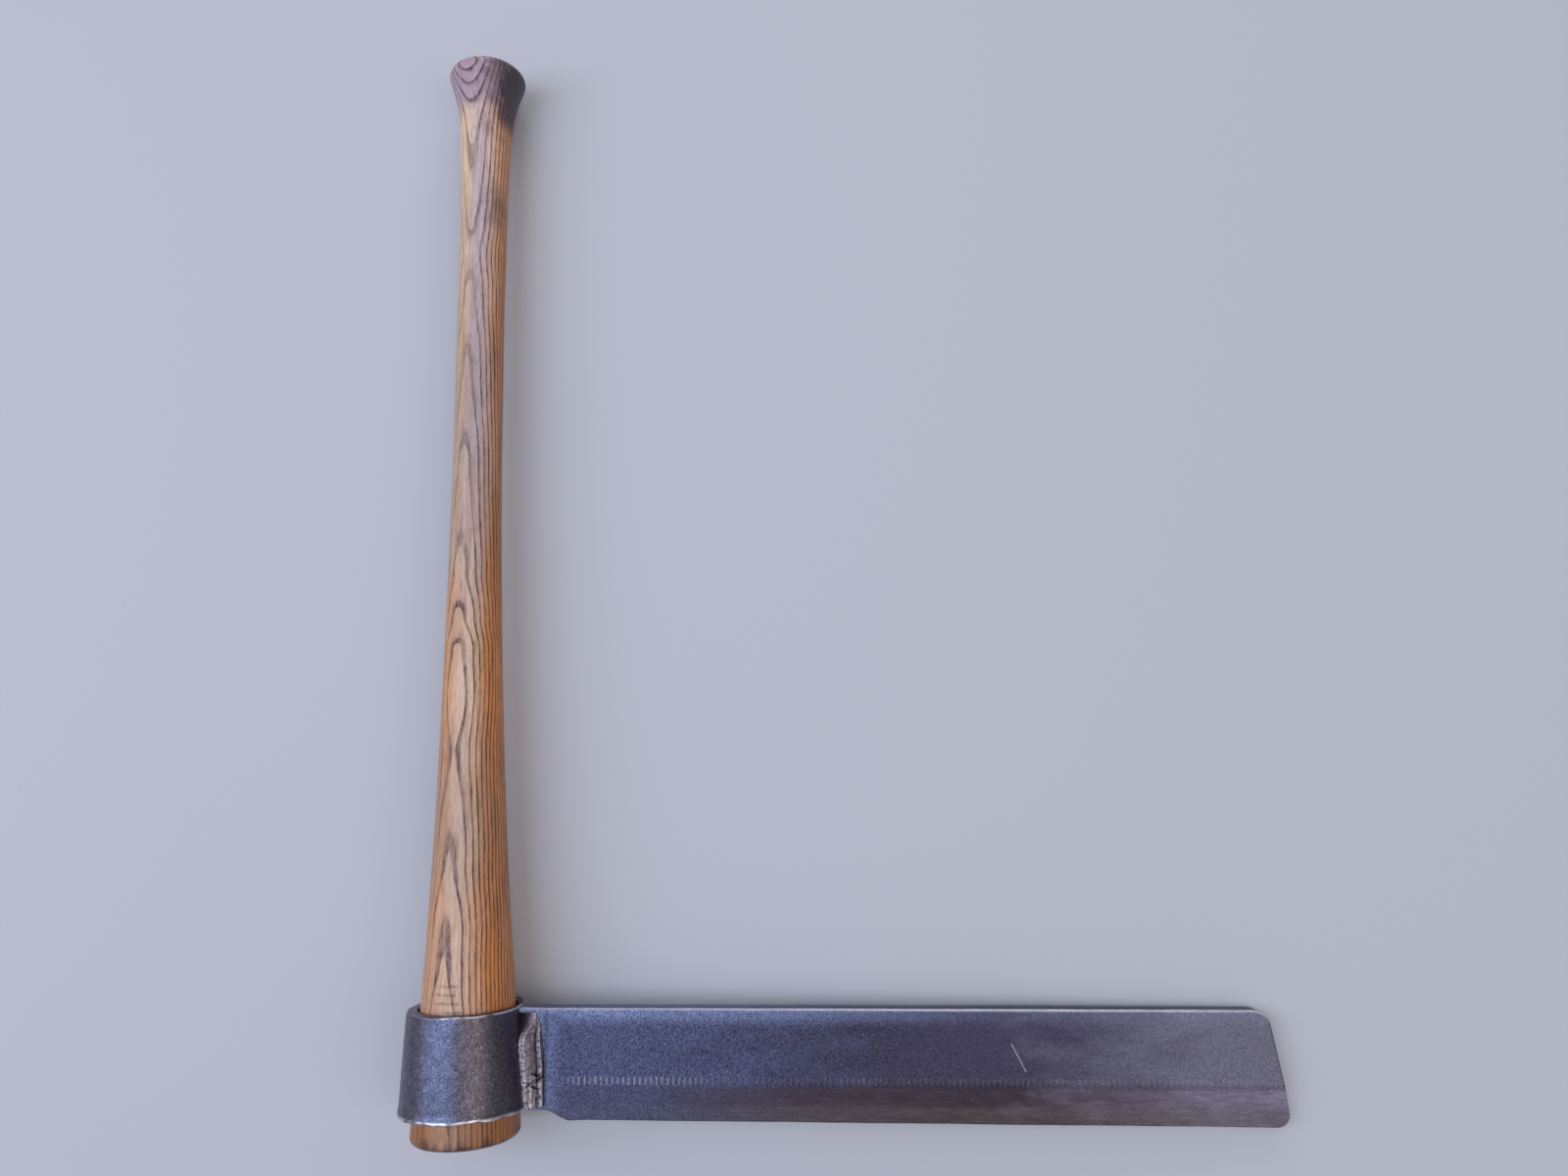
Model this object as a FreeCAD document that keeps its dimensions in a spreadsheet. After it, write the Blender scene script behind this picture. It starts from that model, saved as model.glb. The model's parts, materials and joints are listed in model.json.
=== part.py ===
"""Froe: a long bevelled blade standing out from a tapered eye that holds a drop-through ash handle.

Every piece is drawn in the tool's own frame: the origin lies on the handle's axis in the plane of
the eye's top rim, +X runs out along the blade, +Y runs up the handle and +Z leaves the blade's face.
The finished pieces are then laid down together on the eye's lower rim, the knob and the blade's tip.
"""
import FreeCAD, Part
import math
import os
import re

import Sketcher

# Driving sizes, in millimetres and degrees
SIZES = (
    # The eye: a short steel tube, drifted wider at its foot
    ("eye_top_radius", 28.0),
    ("eye_foot_radius", 30.5),
    ("eye_height", 45.0),
    ("eye_wall", 5.8),
    ("eye_rim_break", 0.7),
    # The blade: a flat bar, with heights measured down from its spine
    ("blade_thickness", 9.5),
    ("blade_droop", 1.5),
    ("spine_length", 373.6),
    ("tip_length", 382.0),
    ("tip_width", 51.6),
    ("heel_length", 49.5),
    ("heel_width", 50.2),
    ("neck_length", 40.5),
    ("neck_width", 45.0),
    ("tip_top_round", 8.0),
    ("tip_foot_round", 8.0),
    ("heel_round", 6.0),
    ("neck_round", 9.0),
    ("blade_edge_break", 0.6),
    # The ground bevel, and where it runs out towards the neck
    ("bevel_shoulder", 32.6),
    ("cutting_edge", 2.5),
    ("runout_start", 36.0),
    ("runout_end", 60.0),
    # The weld beads in the corners between eye and blade
    ("bead_leg_blade", 7.6),
    ("bead_leg_eye", 4.2),
    ("bead_top_drop", 3.0),
    ("bead_foot_rise", 0.6),
    ("bead_crown_radius", 16.0),
    # The handle, with heights measured up from the eye's top rim
    ("seat_clearance", 0.3),
    ("seat_above_eye", 6.0),
    ("handle_foot_drop", 13.0),
    ("handle_foot_round", 2.5),
    ("knob_height", 487.3),
    ("knob_radius", 20.2),
    ("knob_rim_radius", 4.0),
    ("knob_crown", 8.2),
    ("knob_flare_length", 32.3),
)

# Places up the shaft: share of its height, radius there, and radius of the hollow that leads up to it
SHAFT_STATIONS = (
    ("shoulder", 0.22, 16.3, 3100.0),
    ("waist", 0.572, 12.4, 5800.0),
    ("grip", 0.901, 12.2, 11700.0),
    ("knob_base", 1.0, 13.6, 860.0),
)

# Place along the bead and share of its full legs, from its thin top end to its foot
BEAD_STATIONS = (
    (0.0, 0.35),
    (0.2, 0.9),
    (0.45, 1.0),
    (0.75, 1.12),
    (1.0, 0.9),
)

# How far each cutting solid runs on past what it cuts, and how deep a bead starts in the eye
CUT_MARGIN = 6.0
WEDGE_MARGIN = 3.0
BEAD_BURIED = 0.4

doc = FreeCAD.newDocument("froe")
sheet = doc.addObject("Spreadsheet::Sheet", "Sizes")


def fill_sheet():
    """Write every driving size into the sheet under its own name."""
    rows = list(SIZES)
    for name, _, radius, hollow in SHAFT_STATIONS:
        rows.append((name + "_radius", radius))
        rows.append((name + "_hollow", hollow))
    for row, (name, value) in enumerate(rows, start=1):
        sheet.set(f"A{row}", name)
        sheet.set(f"B{row}", str(value))
        sheet.setAlias(f"B{row}", name)
    doc.recompute()


def size(name):
    """Return one driving size as a number."""
    return float(sheet.get(name))


def bound(expression):
    """Put the sheet's name before each of its sizes in an expression."""
    return re.sub("[a-z]+(_[a-z]+)+", lambda word: "Sizes." + word.group(), expression)


def value_of(expression):
    """Return what an expression on the sheet comes to."""
    return float(sheet.evalExpression(bound(expression)))


def new_body(name):
    """Add an empty body."""
    body = doc.addObject("PartDesign::Body", name)
    body.Label = name
    return body


def new_sketch(body, name, plane_role, offset=None):
    """Add a sketch on one of the body's own planes, moved along its normal by an expression."""
    sketch = body.newObject("Sketcher::SketchObject", name)
    plane = [feature for feature in body.Origin.OriginFeatures if feature.Role == plane_role][0]
    sketch.AttachmentSupport = [(plane, "")]
    sketch.MapMode = "FlatFace"
    if offset is not None:
        sketch.setExpression(".AttachmentOffset.Base.z", bound(offset))
    return sketch


def pin_point(sketch, geometry, end, across, up):
    """Hold one end of a line or arc at two distances from the sketch's origin."""
    for kind, expression in (("DistanceX", across), ("DistanceY", up)):
        distance = value_of(expression)
        index = sketch.addConstraint(Sketcher.Constraint(kind, -1, 1, geometry, end, distance))
        sketch.setExpression(f"Constraints[{index}]", bound(expression))


def places_of(corners):
    """Work out where corners given as pairs of expressions lie."""
    return [FreeCAD.Vector(value_of(x), value_of(y), 0) for x, y in corners]


def end_near(sketch, geometry, place):
    """Tell which end of a line or arc lies at a place: 1 for its start, 2 for its end."""
    start = sketch.getPoint(geometry, 1)
    end = sketch.getPoint(geometry, 2)
    return 1 if start.distanceToPoint(place) < end.distanceToPoint(place) else 2


def join(sketch, kind, first, second, place):
    """Join two curves of a sketch at a place, as a plain corner or tangent to each other."""
    first_end = end_near(sketch, first, place)
    second_end = end_near(sketch, second, place)
    sketch.addConstraint(Sketcher.Constraint(kind, first, first_end, second, second_end))


def hold_radius(sketch, geometry, expression):
    """Set the radius of a circle or arc."""
    index = sketch.addConstraint(Sketcher.Constraint("Radius", geometry, value_of(expression)))
    sketch.setExpression(f"Constraints[{index}]", bound(expression))


def draw_polygon(sketch, corners):
    """Draw a closed outline of straight lines through corners given as pairs of expressions."""
    places = places_of(corners)
    count = len(corners)
    for index in range(count):
        sketch.addGeometry(Part.LineSegment(places[index], places[(index + 1) % count]), False)
    for index in range(count):
        sketch.addConstraint(Sketcher.Constraint("Coincident", index, 2, (index + 1) % count, 1))
        pin_point(sketch, index, 1, *corners[index])


def revolve(body, name, sketch):
    """Turn a sketch fully round the handle's axis."""
    turned = body.newObject("PartDesign::Revolution", name)
    turned.Profile = sketch
    turned.ReferenceAxis = (sketch, ["V_Axis"])
    turned.Angle = 360.0
    return turned


def edges_where(shape, test):
    """Name the edges of a shape whose middle and direction pass a test."""
    names = []
    for index, edge in enumerate(shape.Edges, start=1):
        middle = edge.valueAt(0.5 * (edge.FirstParameter + edge.LastParameter))
        if test(edge, middle):
            names.append(f"Edge{index}")
    if not names:
        raise RuntimeError("no edge found to dress")
    return names


def dress(body, kind, name, base, edges, amount):
    """Round or break the named edges of a feature by a size on the sheet."""
    dressed = body.newObject("PartDesign::" + kind, name)
    dressed.Base = (base, edges)
    dressed.setExpression("Radius" if kind == "Fillet" else "Size", bound(amount))
    doc.recompute()
    return dressed


def eye_radius_at(height):
    """Give the eye's outer radius at a height, as an expression."""
    return f"(eye_top_radius - (eye_foot_radius - eye_top_radius) * ({height}) / eye_height)"


def make_eye():
    """Turn the eye's wall and break its four rims."""
    body = new_body("eye")
    profile = new_sketch(body, "eye_wall_profile", "XY_Plane")
    draw_polygon(profile, (
        ("eye_top_radius - eye_wall", "0"),
        ("eye_top_radius", "0"),
        ("eye_foot_radius", "-eye_height"),
        ("eye_foot_radius - eye_wall", "-eye_height"),
    ))
    wall = revolve(body, "eye_wall_turned", profile)
    doc.recompute()
    rims = edges_where(wall.Shape, lambda edge, middle: isinstance(edge.Curve, Part.Circle))
    dress(body, "Chamfer", "eye_rims", wall, rims, "eye_rim_break")
    return body


def make_eye_envelope():
    """Make the solid cone that the eye's outside lies on, run on past both rims."""
    cone = doc.addObject("Part::Cone", "eye_envelope")
    cone.setExpression("Radius1", bound(eye_radius_at(str(CUT_MARGIN))))
    cone.setExpression("Radius2", bound(eye_radius_at(f"-eye_height - {CUT_MARGIN}")))
    cone.setExpression("Height", bound(f"eye_height + 2 * {CUT_MARGIN}"))
    down_the_axis = FreeCAD.Rotation(FreeCAD.Vector(1, 0, 0), 90)
    cone.Placement = FreeCAD.Placement(FreeCAD.Vector(0, CUT_MARGIN, 0), down_the_axis)
    return cone


def bevel_width_at(along):
    """Give the blade's width at a distance along it, as an expression."""
    share = f"(({along}) - heel_length) / (tip_length - heel_length)"
    return f"(heel_width + (tip_width - heel_width) * {share})"


def draw_bevel_wedge(sketch, along, started):
    """Draw the wedge ground off one face: outside the bar where the bevel hasn't started."""
    width = bevel_width_at(along)
    slope = f"(blade_thickness - cutting_edge) / 2 / ({width} - bevel_shoulder)"
    face = "blade_thickness / 2"
    if started:
        shoulder = face
        foot = f"cutting_edge / 2 - {WEDGE_MARGIN} * {slope}"
    else:
        shoulder = face + " + cutting_edge / 8"
        foot = shoulder
    draw_polygon(sketch, (
        ("-bevel_shoulder", shoulder),
        (f"-({width} + {WEDGE_MARGIN})", foot),
        (f"-({width} + {WEDGE_MARGIN})", f"{face} + {WEDGE_MARGIN}"),
    ))


def make_blade_bar():
    """Cut the blade's outline from flat bar, round its corners and grind both bevels."""
    body = new_body("blade_bar")
    outline = new_sketch(body, "blade_outline", "XY_Plane")
    root = "eye_top_radius - eye_wall - 2"
    draw_polygon(outline, (
        (root, "0"),
        ("spine_length", "0"),
        ("tip_length", "-tip_width"),
        ("heel_length", "-heel_width"),
        ("neck_length", "-neck_width"),
        (root, "-neck_width"),
    ))
    bar = body.newObject("PartDesign::Pad", "blade_pad")
    bar.Profile = outline
    bar.SideType = "Symmetric"
    bar.setExpression("Length", bound("blade_thickness"))
    doc.recompute()

    corners = (
        ("tip_top_round", size("spine_length"), 0.0),
        ("tip_foot_round", size("tip_length"), -size("tip_width")),
        ("heel_round", size("heel_length"), -size("heel_width")),
        ("neck_round", size("neck_length"), -size("neck_width")),
    )
    rounded = bar
    for amount, along, height in corners:
        corner = FreeCAD.Vector(along, height, 0)
        edges = edges_where(rounded.Shape, lambda edge, middle: middle.distanceToPoint(corner) < 0.01)
        rounded = dress(body, "Fillet", "blade_" + amount, rounded, edges, amount)

    half = size("blade_thickness") / 2
    spine_edges = edges_where(
        rounded.Shape,
        lambda edge, middle: abs(middle.y) < 0.01 and abs(abs(middle.z) - half) < 0.01,
    )
    broken = dress(body, "Chamfer", "blade_edge_break_cut", rounded, spine_edges, "blade_edge_break")
    volume_before = broken.Shape.Volume

    sections = []
    for name, along, started in (
        ("bevel_runout", "runout_start", False),
        ("bevel_full", "runout_end", True),
        ("bevel_tip", "tip_length + 1", True),
    ):
        section = new_sketch(body, name, "YZ_Plane", along)
        draw_bevel_wedge(section, along, started)
        sections.append(section)
    bevel = body.newObject("PartDesign::SubtractiveLoft", "bevel_front")
    bevel.Profile = sections[0]
    bevel.Sections = sections[1:]
    bevel.Ruled = True
    doc.recompute()
    if bevel.Shape.Volume >= volume_before:
        raise RuntimeError("the front bevel removed nothing")

    both = body.newObject("PartDesign::Mirrored", "bevel_back")
    both.Originals = [bevel]
    middle_plane = [feature for feature in body.Origin.OriginFeatures if feature.Role == "XY_Plane"][0]
    both.MirrorPlane = (middle_plane, [""])
    body.Tip = both
    doc.recompute()
    if both.Shape.Volume >= bevel.Shape.Volume:
        raise RuntimeError("the back bevel removed nothing")
    return body


def make_blade(envelope):
    """Set the bar at its droop and cut its root to seat on the eye's outside."""
    bar = make_blade_bar()
    clockwise = FreeCAD.Rotation(FreeCAD.Vector(0, 0, -1), size("blade_droop"))
    bar.Placement = FreeCAD.Placement(FreeCAD.Vector(0, 0, 0), clockwise)
    bar.setExpression("Placement.Rotation.Angle", bound("blade_droop"))
    return cut_to_eye("blade", bar, envelope)


def draw_bead_section(sketch, drop, share, side):
    """Draw one slice of the bead: flat on the blade, buried in the eye, crowned outside."""
    radius = eye_radius_at(f"-({drop})")
    face = "blade_thickness / 2"
    toe_height = f"({face} + bead_leg_eye * {share})"
    toe_on_eye = f"sqrt({radius}^2 - {toe_height}^2) - {BEAD_BURIED}"
    toe_on_blade = f"sqrt({radius}^2 - ({face})^2) + bead_leg_blade * {share}"
    inside = f"{radius} - eye_wall / 2"
    corners = (
        (inside, f"{side} * {toe_height}"),
        (inside, f"{side} * {face}"),
        (toe_on_blade, f"{side} * {face}"),
        (toe_on_eye, f"{side} * {toe_height}"),
    )
    places = places_of(corners)
    chord = places[3] - places[2]
    radius_of_crown = size("bead_crown_radius")
    rise = radius_of_crown - math.sqrt(radius_of_crown ** 2 - (chord.Length / 2) ** 2)
    outward = FreeCAD.Vector(chord.y, -chord.x, 0).normalize() * side
    crown = (places[2] + places[3]) * 0.5 + outward * rise
    for curve in (
        Part.LineSegment(places[0], places[1]),
        Part.LineSegment(places[1], places[2]),
        Part.Arc(places[2], crown, places[3]),
        Part.LineSegment(places[3], places[0]),
    ):
        sketch.addGeometry(curve, False)
    for index, place in enumerate(places):
        join(sketch, "Coincident", index - 1 if index else 3, index, place)
        pin_point(sketch, index, end_near(sketch, index, place), *corners[index])
    hold_radius(sketch, 2, "bead_crown_radius")


def make_weld(name, envelope, side):
    """Lay one bead down the corner between the eye and a face of the blade."""
    body = new_body(name + "_bead")
    length = "(eye_height - bead_top_drop - bead_foot_rise)"
    sections = []
    for index, (place, share) in enumerate(BEAD_STATIONS):
        drop = f"bead_top_drop + {length} * {place}"
        section = new_sketch(body, f"{name}_slice_{index}", "XZ_Plane", drop)
        draw_bead_section(section, drop, share, side)
        sections.append(section)
    bead = body.newObject("PartDesign::AdditiveLoft", name + "_loft")
    bead.Profile = sections[0]
    bead.Sections = sections[1:]
    bead.Ruled = True
    doc.recompute()
    return cut_to_eye(name, body, envelope)


def cut_to_eye(name, body, envelope):
    """Cut a body back to the eye's outside, so that it seats there."""
    seated = doc.addObject("Part::Cut", name)
    seated.Label = name
    seated.Base = body
    seated.Tool = envelope
    doc.recompute()
    return seated


def hollow_centre(start, end, radius):
    """Find the centre of a hollow between two places on the shaft: it lies outside the wood."""
    chord = end - start
    outward = FreeCAD.Vector(chord.y, -chord.x, 0).normalize()
    return (start + end) * 0.5 + outward * math.sqrt(radius ** 2 - (chord.Length / 2) ** 2)


def arc_between(start, end, centre):
    """Draw the short arc about a centre from one place to another."""
    middle = (start + end) * 0.5 - centre
    return Part.Arc(start, centre + middle.normalize() * (start - centre).Length, end)


def draw_handle(body):
    """Draw half the handle: tapered seat, hollow shaft, and a knob of tangent flare, rim and dome."""
    taper = "(eye_foot_radius - eye_top_radius) / eye_height"
    foot = "-(eye_height + handle_foot_drop)"
    corners = [
        ("0", foot),
        (f"eye_foot_radius - eye_wall - seat_clearance + handle_foot_drop * {taper}", foot),
        (f"eye_top_radius - eye_wall - seat_clearance - seat_above_eye * {taper}", "seat_above_eye"),
    ]
    for name, share, _, _ in SHAFT_STATIONS:
        corners.append((name + "_radius", f"(knob_height - knob_flare_length) * {share}"))
    corners.append(("0", "knob_height + knob_crown"))
    places = places_of(corners)
    base = places[-2]
    top = places[-1]

    curves = [Part.LineSegment(places[0], places[1]), Part.LineSegment(places[1], places[2])]
    for index, (name, _, _, _) in enumerate(SHAFT_STATIONS, start=2):
        centre = hollow_centre(places[index], places[index + 1], size(name + "_hollow"))
        curves.append(arc_between(places[index], places[index + 1], centre))

    rim = size("knob_rim_radius")
    rim_centre = FreeCAD.Vector(size("knob_radius") - rim, size("knob_height"), 0)
    outward = (centre - base).normalize()
    apart = base - rim_centre
    flare = (apart.Length ** 2 - rim ** 2) / (2 * (rim - apart.dot(outward)))
    flare_centre = base + outward * flare
    crown = size("knob_crown")
    dome = (rim_centre.x ** 2 + crown ** 2 - rim ** 2) / (2 * (crown - rim))
    dome_centre = FreeCAD.Vector(0, top.y - dome, 0)
    flare_end = flare_centre + (rim_centre - flare_centre).normalize() * flare
    dome_start = dome_centre + (rim_centre - dome_centre).normalize() * dome
    flare_arc = len(curves)
    rim_arc = flare_arc + 1
    dome_arc = flare_arc + 2
    curves.append(arc_between(base, flare_end, flare_centre))
    curves.append(arc_between(flare_end, dome_start, rim_centre))
    curves.append(arc_between(dome_start, top, dome_centre))
    curves.append(Part.LineSegment(top, places[0]))

    profile = new_sketch(body, "handle_profile", "XY_Plane")
    for curve in curves:
        profile.addGeometry(curve, False)
    for index, place in enumerate(places[:-2]):
        join(profile, "Coincident", index - 1 if index else len(curves) - 1, index, place)
        pin_point(profile, index, end_near(profile, index, place), *corners[index])
    pin_point(profile, flare_arc - 1, end_near(profile, flare_arc - 1, base), *corners[-2])
    join(profile, "Tangent", flare_arc - 1, flare_arc, base)
    join(profile, "Tangent", flare_arc, rim_arc, flare_end)
    join(profile, "Tangent", rim_arc, dome_arc, dome_start)
    join(profile, "Coincident", dome_arc, dome_arc + 1, top)
    pin_point(profile, dome_arc + 1, 1, *corners[-1])
    for index, (name, _, _, _) in enumerate(SHAFT_STATIONS, start=2):
        hold_radius(profile, index, name + "_hollow")
    pin_point(profile, rim_arc, 3, "knob_radius - knob_rim_radius", "knob_height")
    hold_radius(profile, rim_arc, "knob_rim_radius")
    profile.addConstraint(Sketcher.Constraint("PointOnObject", dome_arc, 3, -2))
    return profile


def make_handle():
    """Turn the handle and round the rim of its foot."""
    body = new_body("handle")
    turned = revolve(body, "handle_turned", draw_handle(body))
    doc.recompute()
    foot_height = -size("eye_height") - size("handle_foot_drop")
    foot_rim = edges_where(turned.Shape, lambda edge, middle: abs(middle.y - foot_height) < 0.01)
    dress(body, "Fillet", "handle_foot_rim", turned, foot_rim, "handle_foot_round")
    return body


def resting_rotation():
    """Turn the tool so that the eye's lower rim, the knob and the blade's tip touch the ground.

    The pitch levels the eye's foot circle with the knob's widest circle. The roll then lets the blade
    down until the round at the top of its tip, on the back face, meets the plane under both circles.
    """
    eye_foot = -size("eye_height")
    taper = (size("eye_foot_radius") - size("knob_radius")) / (eye_foot - size("knob_height"))
    pitch = math.atan(taper)
    level = math.sin(pitch) * eye_foot - math.cos(pitch) * size("eye_foot_radius")

    lean = math.atan((size("tip_length") - size("spine_length")) / size("tip_width"))
    tip_round = size("tip_top_round")
    inset = tip_round / math.tan(math.pi / 4 + lean / 2)
    back_face = -size("blade_thickness") / 2
    round_centre = FreeCAD.Vector(size("spine_length") - inset, -tip_round, back_face)
    droop = FreeCAD.Rotation(FreeCAD.Vector(0, 0, -1), size("blade_droop"))
    round_centre = droop.multVec(round_centre)

    downhill = FreeCAD.Vector(1, 0, 0)
    for _ in range(3):
        contact = round_centre + downhill * tip_round
        depth = level / math.cos(pitch) - math.tan(pitch) * contact.y
        reach = math.hypot(contact.x, contact.z)
        roll = math.asin(depth / reach) - math.atan2(contact.z, contact.x)
        downhill = FreeCAD.Vector(-math.cos(pitch) * math.sin(roll), -math.sin(pitch), 0).normalize()
    about_handle = FreeCAD.Rotation(FreeCAD.Vector(0, 1, 0), -math.degrees(roll))
    about_ground = FreeCAD.Rotation(FreeCAD.Vector(1, 0, 0), math.degrees(pitch))
    return about_ground.multiply(about_handle)


def lay_down(pieces):
    """Lay every piece down, with the origin under the middle of the whole tool."""
    rotation = resting_rotation()
    reach = FreeCAD.BoundBox()
    for piece in pieces:
        piece.Placement = FreeCAD.Placement(FreeCAD.Vector(0, 0, 0), rotation)
        reach.add(piece.Shape.optimalBoundingBox(False, False))
    shift = FreeCAD.Vector(-reach.Center.x, -reach.Center.y, -reach.ZMin)
    for piece in pieces:
        piece.Placement = FreeCAD.Placement(shift, rotation)
    doc.recompute()


def check_model(pieces):
    """Stop if any object failed, or any piece is missing, broken or in bits."""
    for item in doc.Objects:
        if "Invalid" in item.State or "Error" in item.State:
            raise RuntimeError(f"{item.Name} failed: {item.State}")
    for piece in pieces:
        if piece.Shape.isNull() or not piece.Shape.isValid():
            raise RuntimeError(f"{piece.Label} has no sound shape")
        if len(piece.Shape.Solids) != 1:
            raise RuntimeError(f"{piece.Label} is not one solid")


def write_pieces(pieces):
    """Write each piece to a file named after it."""
    os.makedirs("parts", exist_ok=True)
    for piece in pieces:
        piece.Shape.exportStep(f"parts/{piece.Label}.step")


fill_sheet()
eye_envelope = make_eye_envelope()
tool_pieces = [
    make_eye(),
    make_blade(eye_envelope),
    make_weld("weld_front", eye_envelope, 1),
    make_weld("weld_back", eye_envelope, -1),
    make_handle(),
]
doc.recompute()
lay_down(tool_pieces)
check_model(tool_pieces)
write_pieces(tool_pieces)
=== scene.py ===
"""Looks of a froe: its handle, eye, blade and weld beads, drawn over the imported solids."""
import json
import math
from functools import partial

import bpy
import numpy as np
from mathutils import Euler, Matrix, Vector, noise


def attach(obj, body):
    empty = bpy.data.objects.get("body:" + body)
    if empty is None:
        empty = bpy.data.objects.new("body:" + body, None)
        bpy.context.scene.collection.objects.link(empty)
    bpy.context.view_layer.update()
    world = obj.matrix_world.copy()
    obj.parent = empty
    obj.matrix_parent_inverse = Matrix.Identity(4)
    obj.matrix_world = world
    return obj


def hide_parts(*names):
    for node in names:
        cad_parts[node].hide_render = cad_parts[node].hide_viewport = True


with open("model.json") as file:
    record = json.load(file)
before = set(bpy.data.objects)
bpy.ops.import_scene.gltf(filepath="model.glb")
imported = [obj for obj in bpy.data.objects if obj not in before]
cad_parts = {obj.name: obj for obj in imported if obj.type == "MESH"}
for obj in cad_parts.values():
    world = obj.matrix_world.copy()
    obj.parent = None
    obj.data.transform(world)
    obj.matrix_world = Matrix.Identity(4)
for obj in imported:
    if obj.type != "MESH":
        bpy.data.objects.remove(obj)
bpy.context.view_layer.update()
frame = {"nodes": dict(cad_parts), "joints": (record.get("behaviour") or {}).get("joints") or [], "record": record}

bl_info = {
    "name": "Froe",
    "version": (1, 0, 0),
    "blender": (4, 5, 0),
    "location": "3D View > Sidebar > Froe",
    "description": "Builds the visible pieces of a splitting froe over its solids",
    "category": "Add Mesh",
}

# One millimetre in metres: sizes are in millimetres where their names end in _MM or _mm. Places along
# the handle are heights above the eye's top rim, and places along the blade run from the handle's axis.
MM = 0.001

# Points round one ring of the handle and of the eye, and the steps between the rings
HANDLE_RING_SIZE = 128
HANDLE_STEP_MM = 1.2
EYE_RING_SIZE = 240
EYE_STEP_MM = 0.35

# Length of the shaft from the eye to the knob
SHAFT_MM = 460.0

# Depth of the shaved unevenness of the shaft: its long hollows and its short facets
HOLLOWS_MM = 0.22
FACETS_MM = 0.07

# Where the pin knot stands on the shaft, how high it swells, and how far up and down the shaft
KNOT_HEIGHT_MM = 408.0
KNOT_TURN = math.radians(52)
KNOT_SWELLING_MM = 0.5
KNOT_REACH_MM = 7

# The way the ash's flat-sawn face looks, and the ring that is reached at each height along it:
# the lines come to a point at each whole number and are closed where the course turns back
GRAIN_FACE = (math.sin(math.radians(-16)), 0, math.cos(math.radians(-16)))
RING_COURSE = (
    (-35, -1.15), (33, 0), (67, 1), (122, 2.2), (148, 1.68), (169, 2), (185, 3), (208, 4), (262, 5),
    (312, 6), (360, 7), (380, 7.5), (397, 7), (442, 6),
)

# How far the grain wanders to and fro, and over what lengths
WANDER_MM = 0.9
WANDER_GRAIN_MM = (24, 45, 24)

# How much darker the flame and the oil have left the shaft at each height
DUSK_COURSE = (
    (-56, 0.4), (-46, 0.25), (0, 0.03), (33, 0.03), (80, 0.26), (105, 0.2), (140, 0.0), (190, 0.08),
    (230, 0.24), (320, 0.24), (360, 0.1), (400, 0.08), (442, -0.06),
)

# The way the blade's side of the shaft looks, with the turn at which it stands out most
BLADE_SIDE = (math.cos(math.radians(17.5)), 0, -math.sin(math.radians(17.5)))

# The way the burnt side of the knob looks
BURNT_TURN = math.radians(115)

# Heights between which each tint or mark of the handle comes in
HANDLE_ZONES_MM = {
    "upper_shaft": (170, 270), "below_eye": (-30, -45), "strap": (300, 400), "knob_rings": (450, 462),
    "knob_bloom": (456, 474), "knob_burn": (446, 464), "foot_burn": (-59, -54),
}

# Spacing, middle height and half height of the dark bars across the shaft above the eye
BAR_SPACING_MM = 3.8
BARS_HEIGHT_MM = 7
BARS_REACH_MM = 7.5

# How far the eye's wall was squeezed in beside the blade, over which turn to each side and how far down
SQUEEZE_MM = 2.3
SQUEEZE_TURN_DEG = 38
SQUEEZE_REACH_MM = 34

# How far the bore stands open beside the handle at the top, and over which depth
OPENING_MM = 1.1
OPENING_REACH_MM = 8

# The eye's rims: the band that the hammer reached, its waves at the top and the foot, and the foot's flare
RIM_BAND_MM = 4
TOP_WAVE_MM = 0.25
FOOT_WAVE_MM = 0.4
FLARE_MM = 0.35

# The net of points on the blade's faces: columns, and rows above and below the bevel's shoulder
BLADE_COLUMNS = 430
UPPER_ROWS = 40
LOWER_ROWS = 24
BLADE_STEP_MM = 0.5

# Steps of the flat of the blade's edge wall, and the angles at which its round is cut
WALL_STEPS = 8
ROUND_CUTS_DEG = (22.5, 45, 67.5, 90)

# Rounds of the blade's outline: the two corners of the tip, the heel and the neck
SPINE_CORNER_MM = 8
EDGE_CORNER_MM = 5.5
HEEL_ROUND_MM = 6
NECK_ROUND_MM = 9

# Where the ground bevel runs out along the blade
BEVEL_RUNOUT_MM = (36, 60)

# The groove beside a weld bead and the hollow round it: places, depth and width
GROOVE_MM = 38.7
GROOVE_DEPTH_MM = 0.5
GROOVE_WIDTH_MM = 1.0
HOLLOW_MM = (39, 47)
HOLLOW_DEPTH_MM = 0.5

# Places along the blade, and then heights from its spine, between which each of its marks comes or goes
BLADE_ZONES_MM = {
    "past_neck": (44, 52), "root": (34, 47), "pale_top": (70, 240), "coarse_grain": (80, 270),
    "ticks": (90, 125), "brown_bevel": (60, 190), "under_spine": (-9, -2), "by_the_edge": (-41, -45),
}

# Spacing of the grinder's marks along the blade's shoulder
TICK_SPACING_MM = 2.6

# The two ends of the scratch on the blade's near face
SCRATCH_MM = ((255.6, -15.0), (261.9, -27.4))

# Steps down a weld bead and across it, and the height of its crown, its ridge and its pits
BEAD_STEPS = 120
BEAD_STEPS_ACROSS = 56
CROWN_MM = 0.9
RIDGE_MM = 0.75
PIT_DEPTH_MM = 0.9

# Across a bead from the eye at 0 to the blade at 1: how far its crown reaches, and the middle and the
# width of its highlighted edge, its lip, its valley and its ridge
CROWN_WIDTH = 0.72
EDGE_HIGHLIGHT = (0.03, 0.03)
LIP = (0.16, 0.07)
VALLEY = (0.68, 0.07)
RIDGE = (0.87, 0.06)

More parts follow.
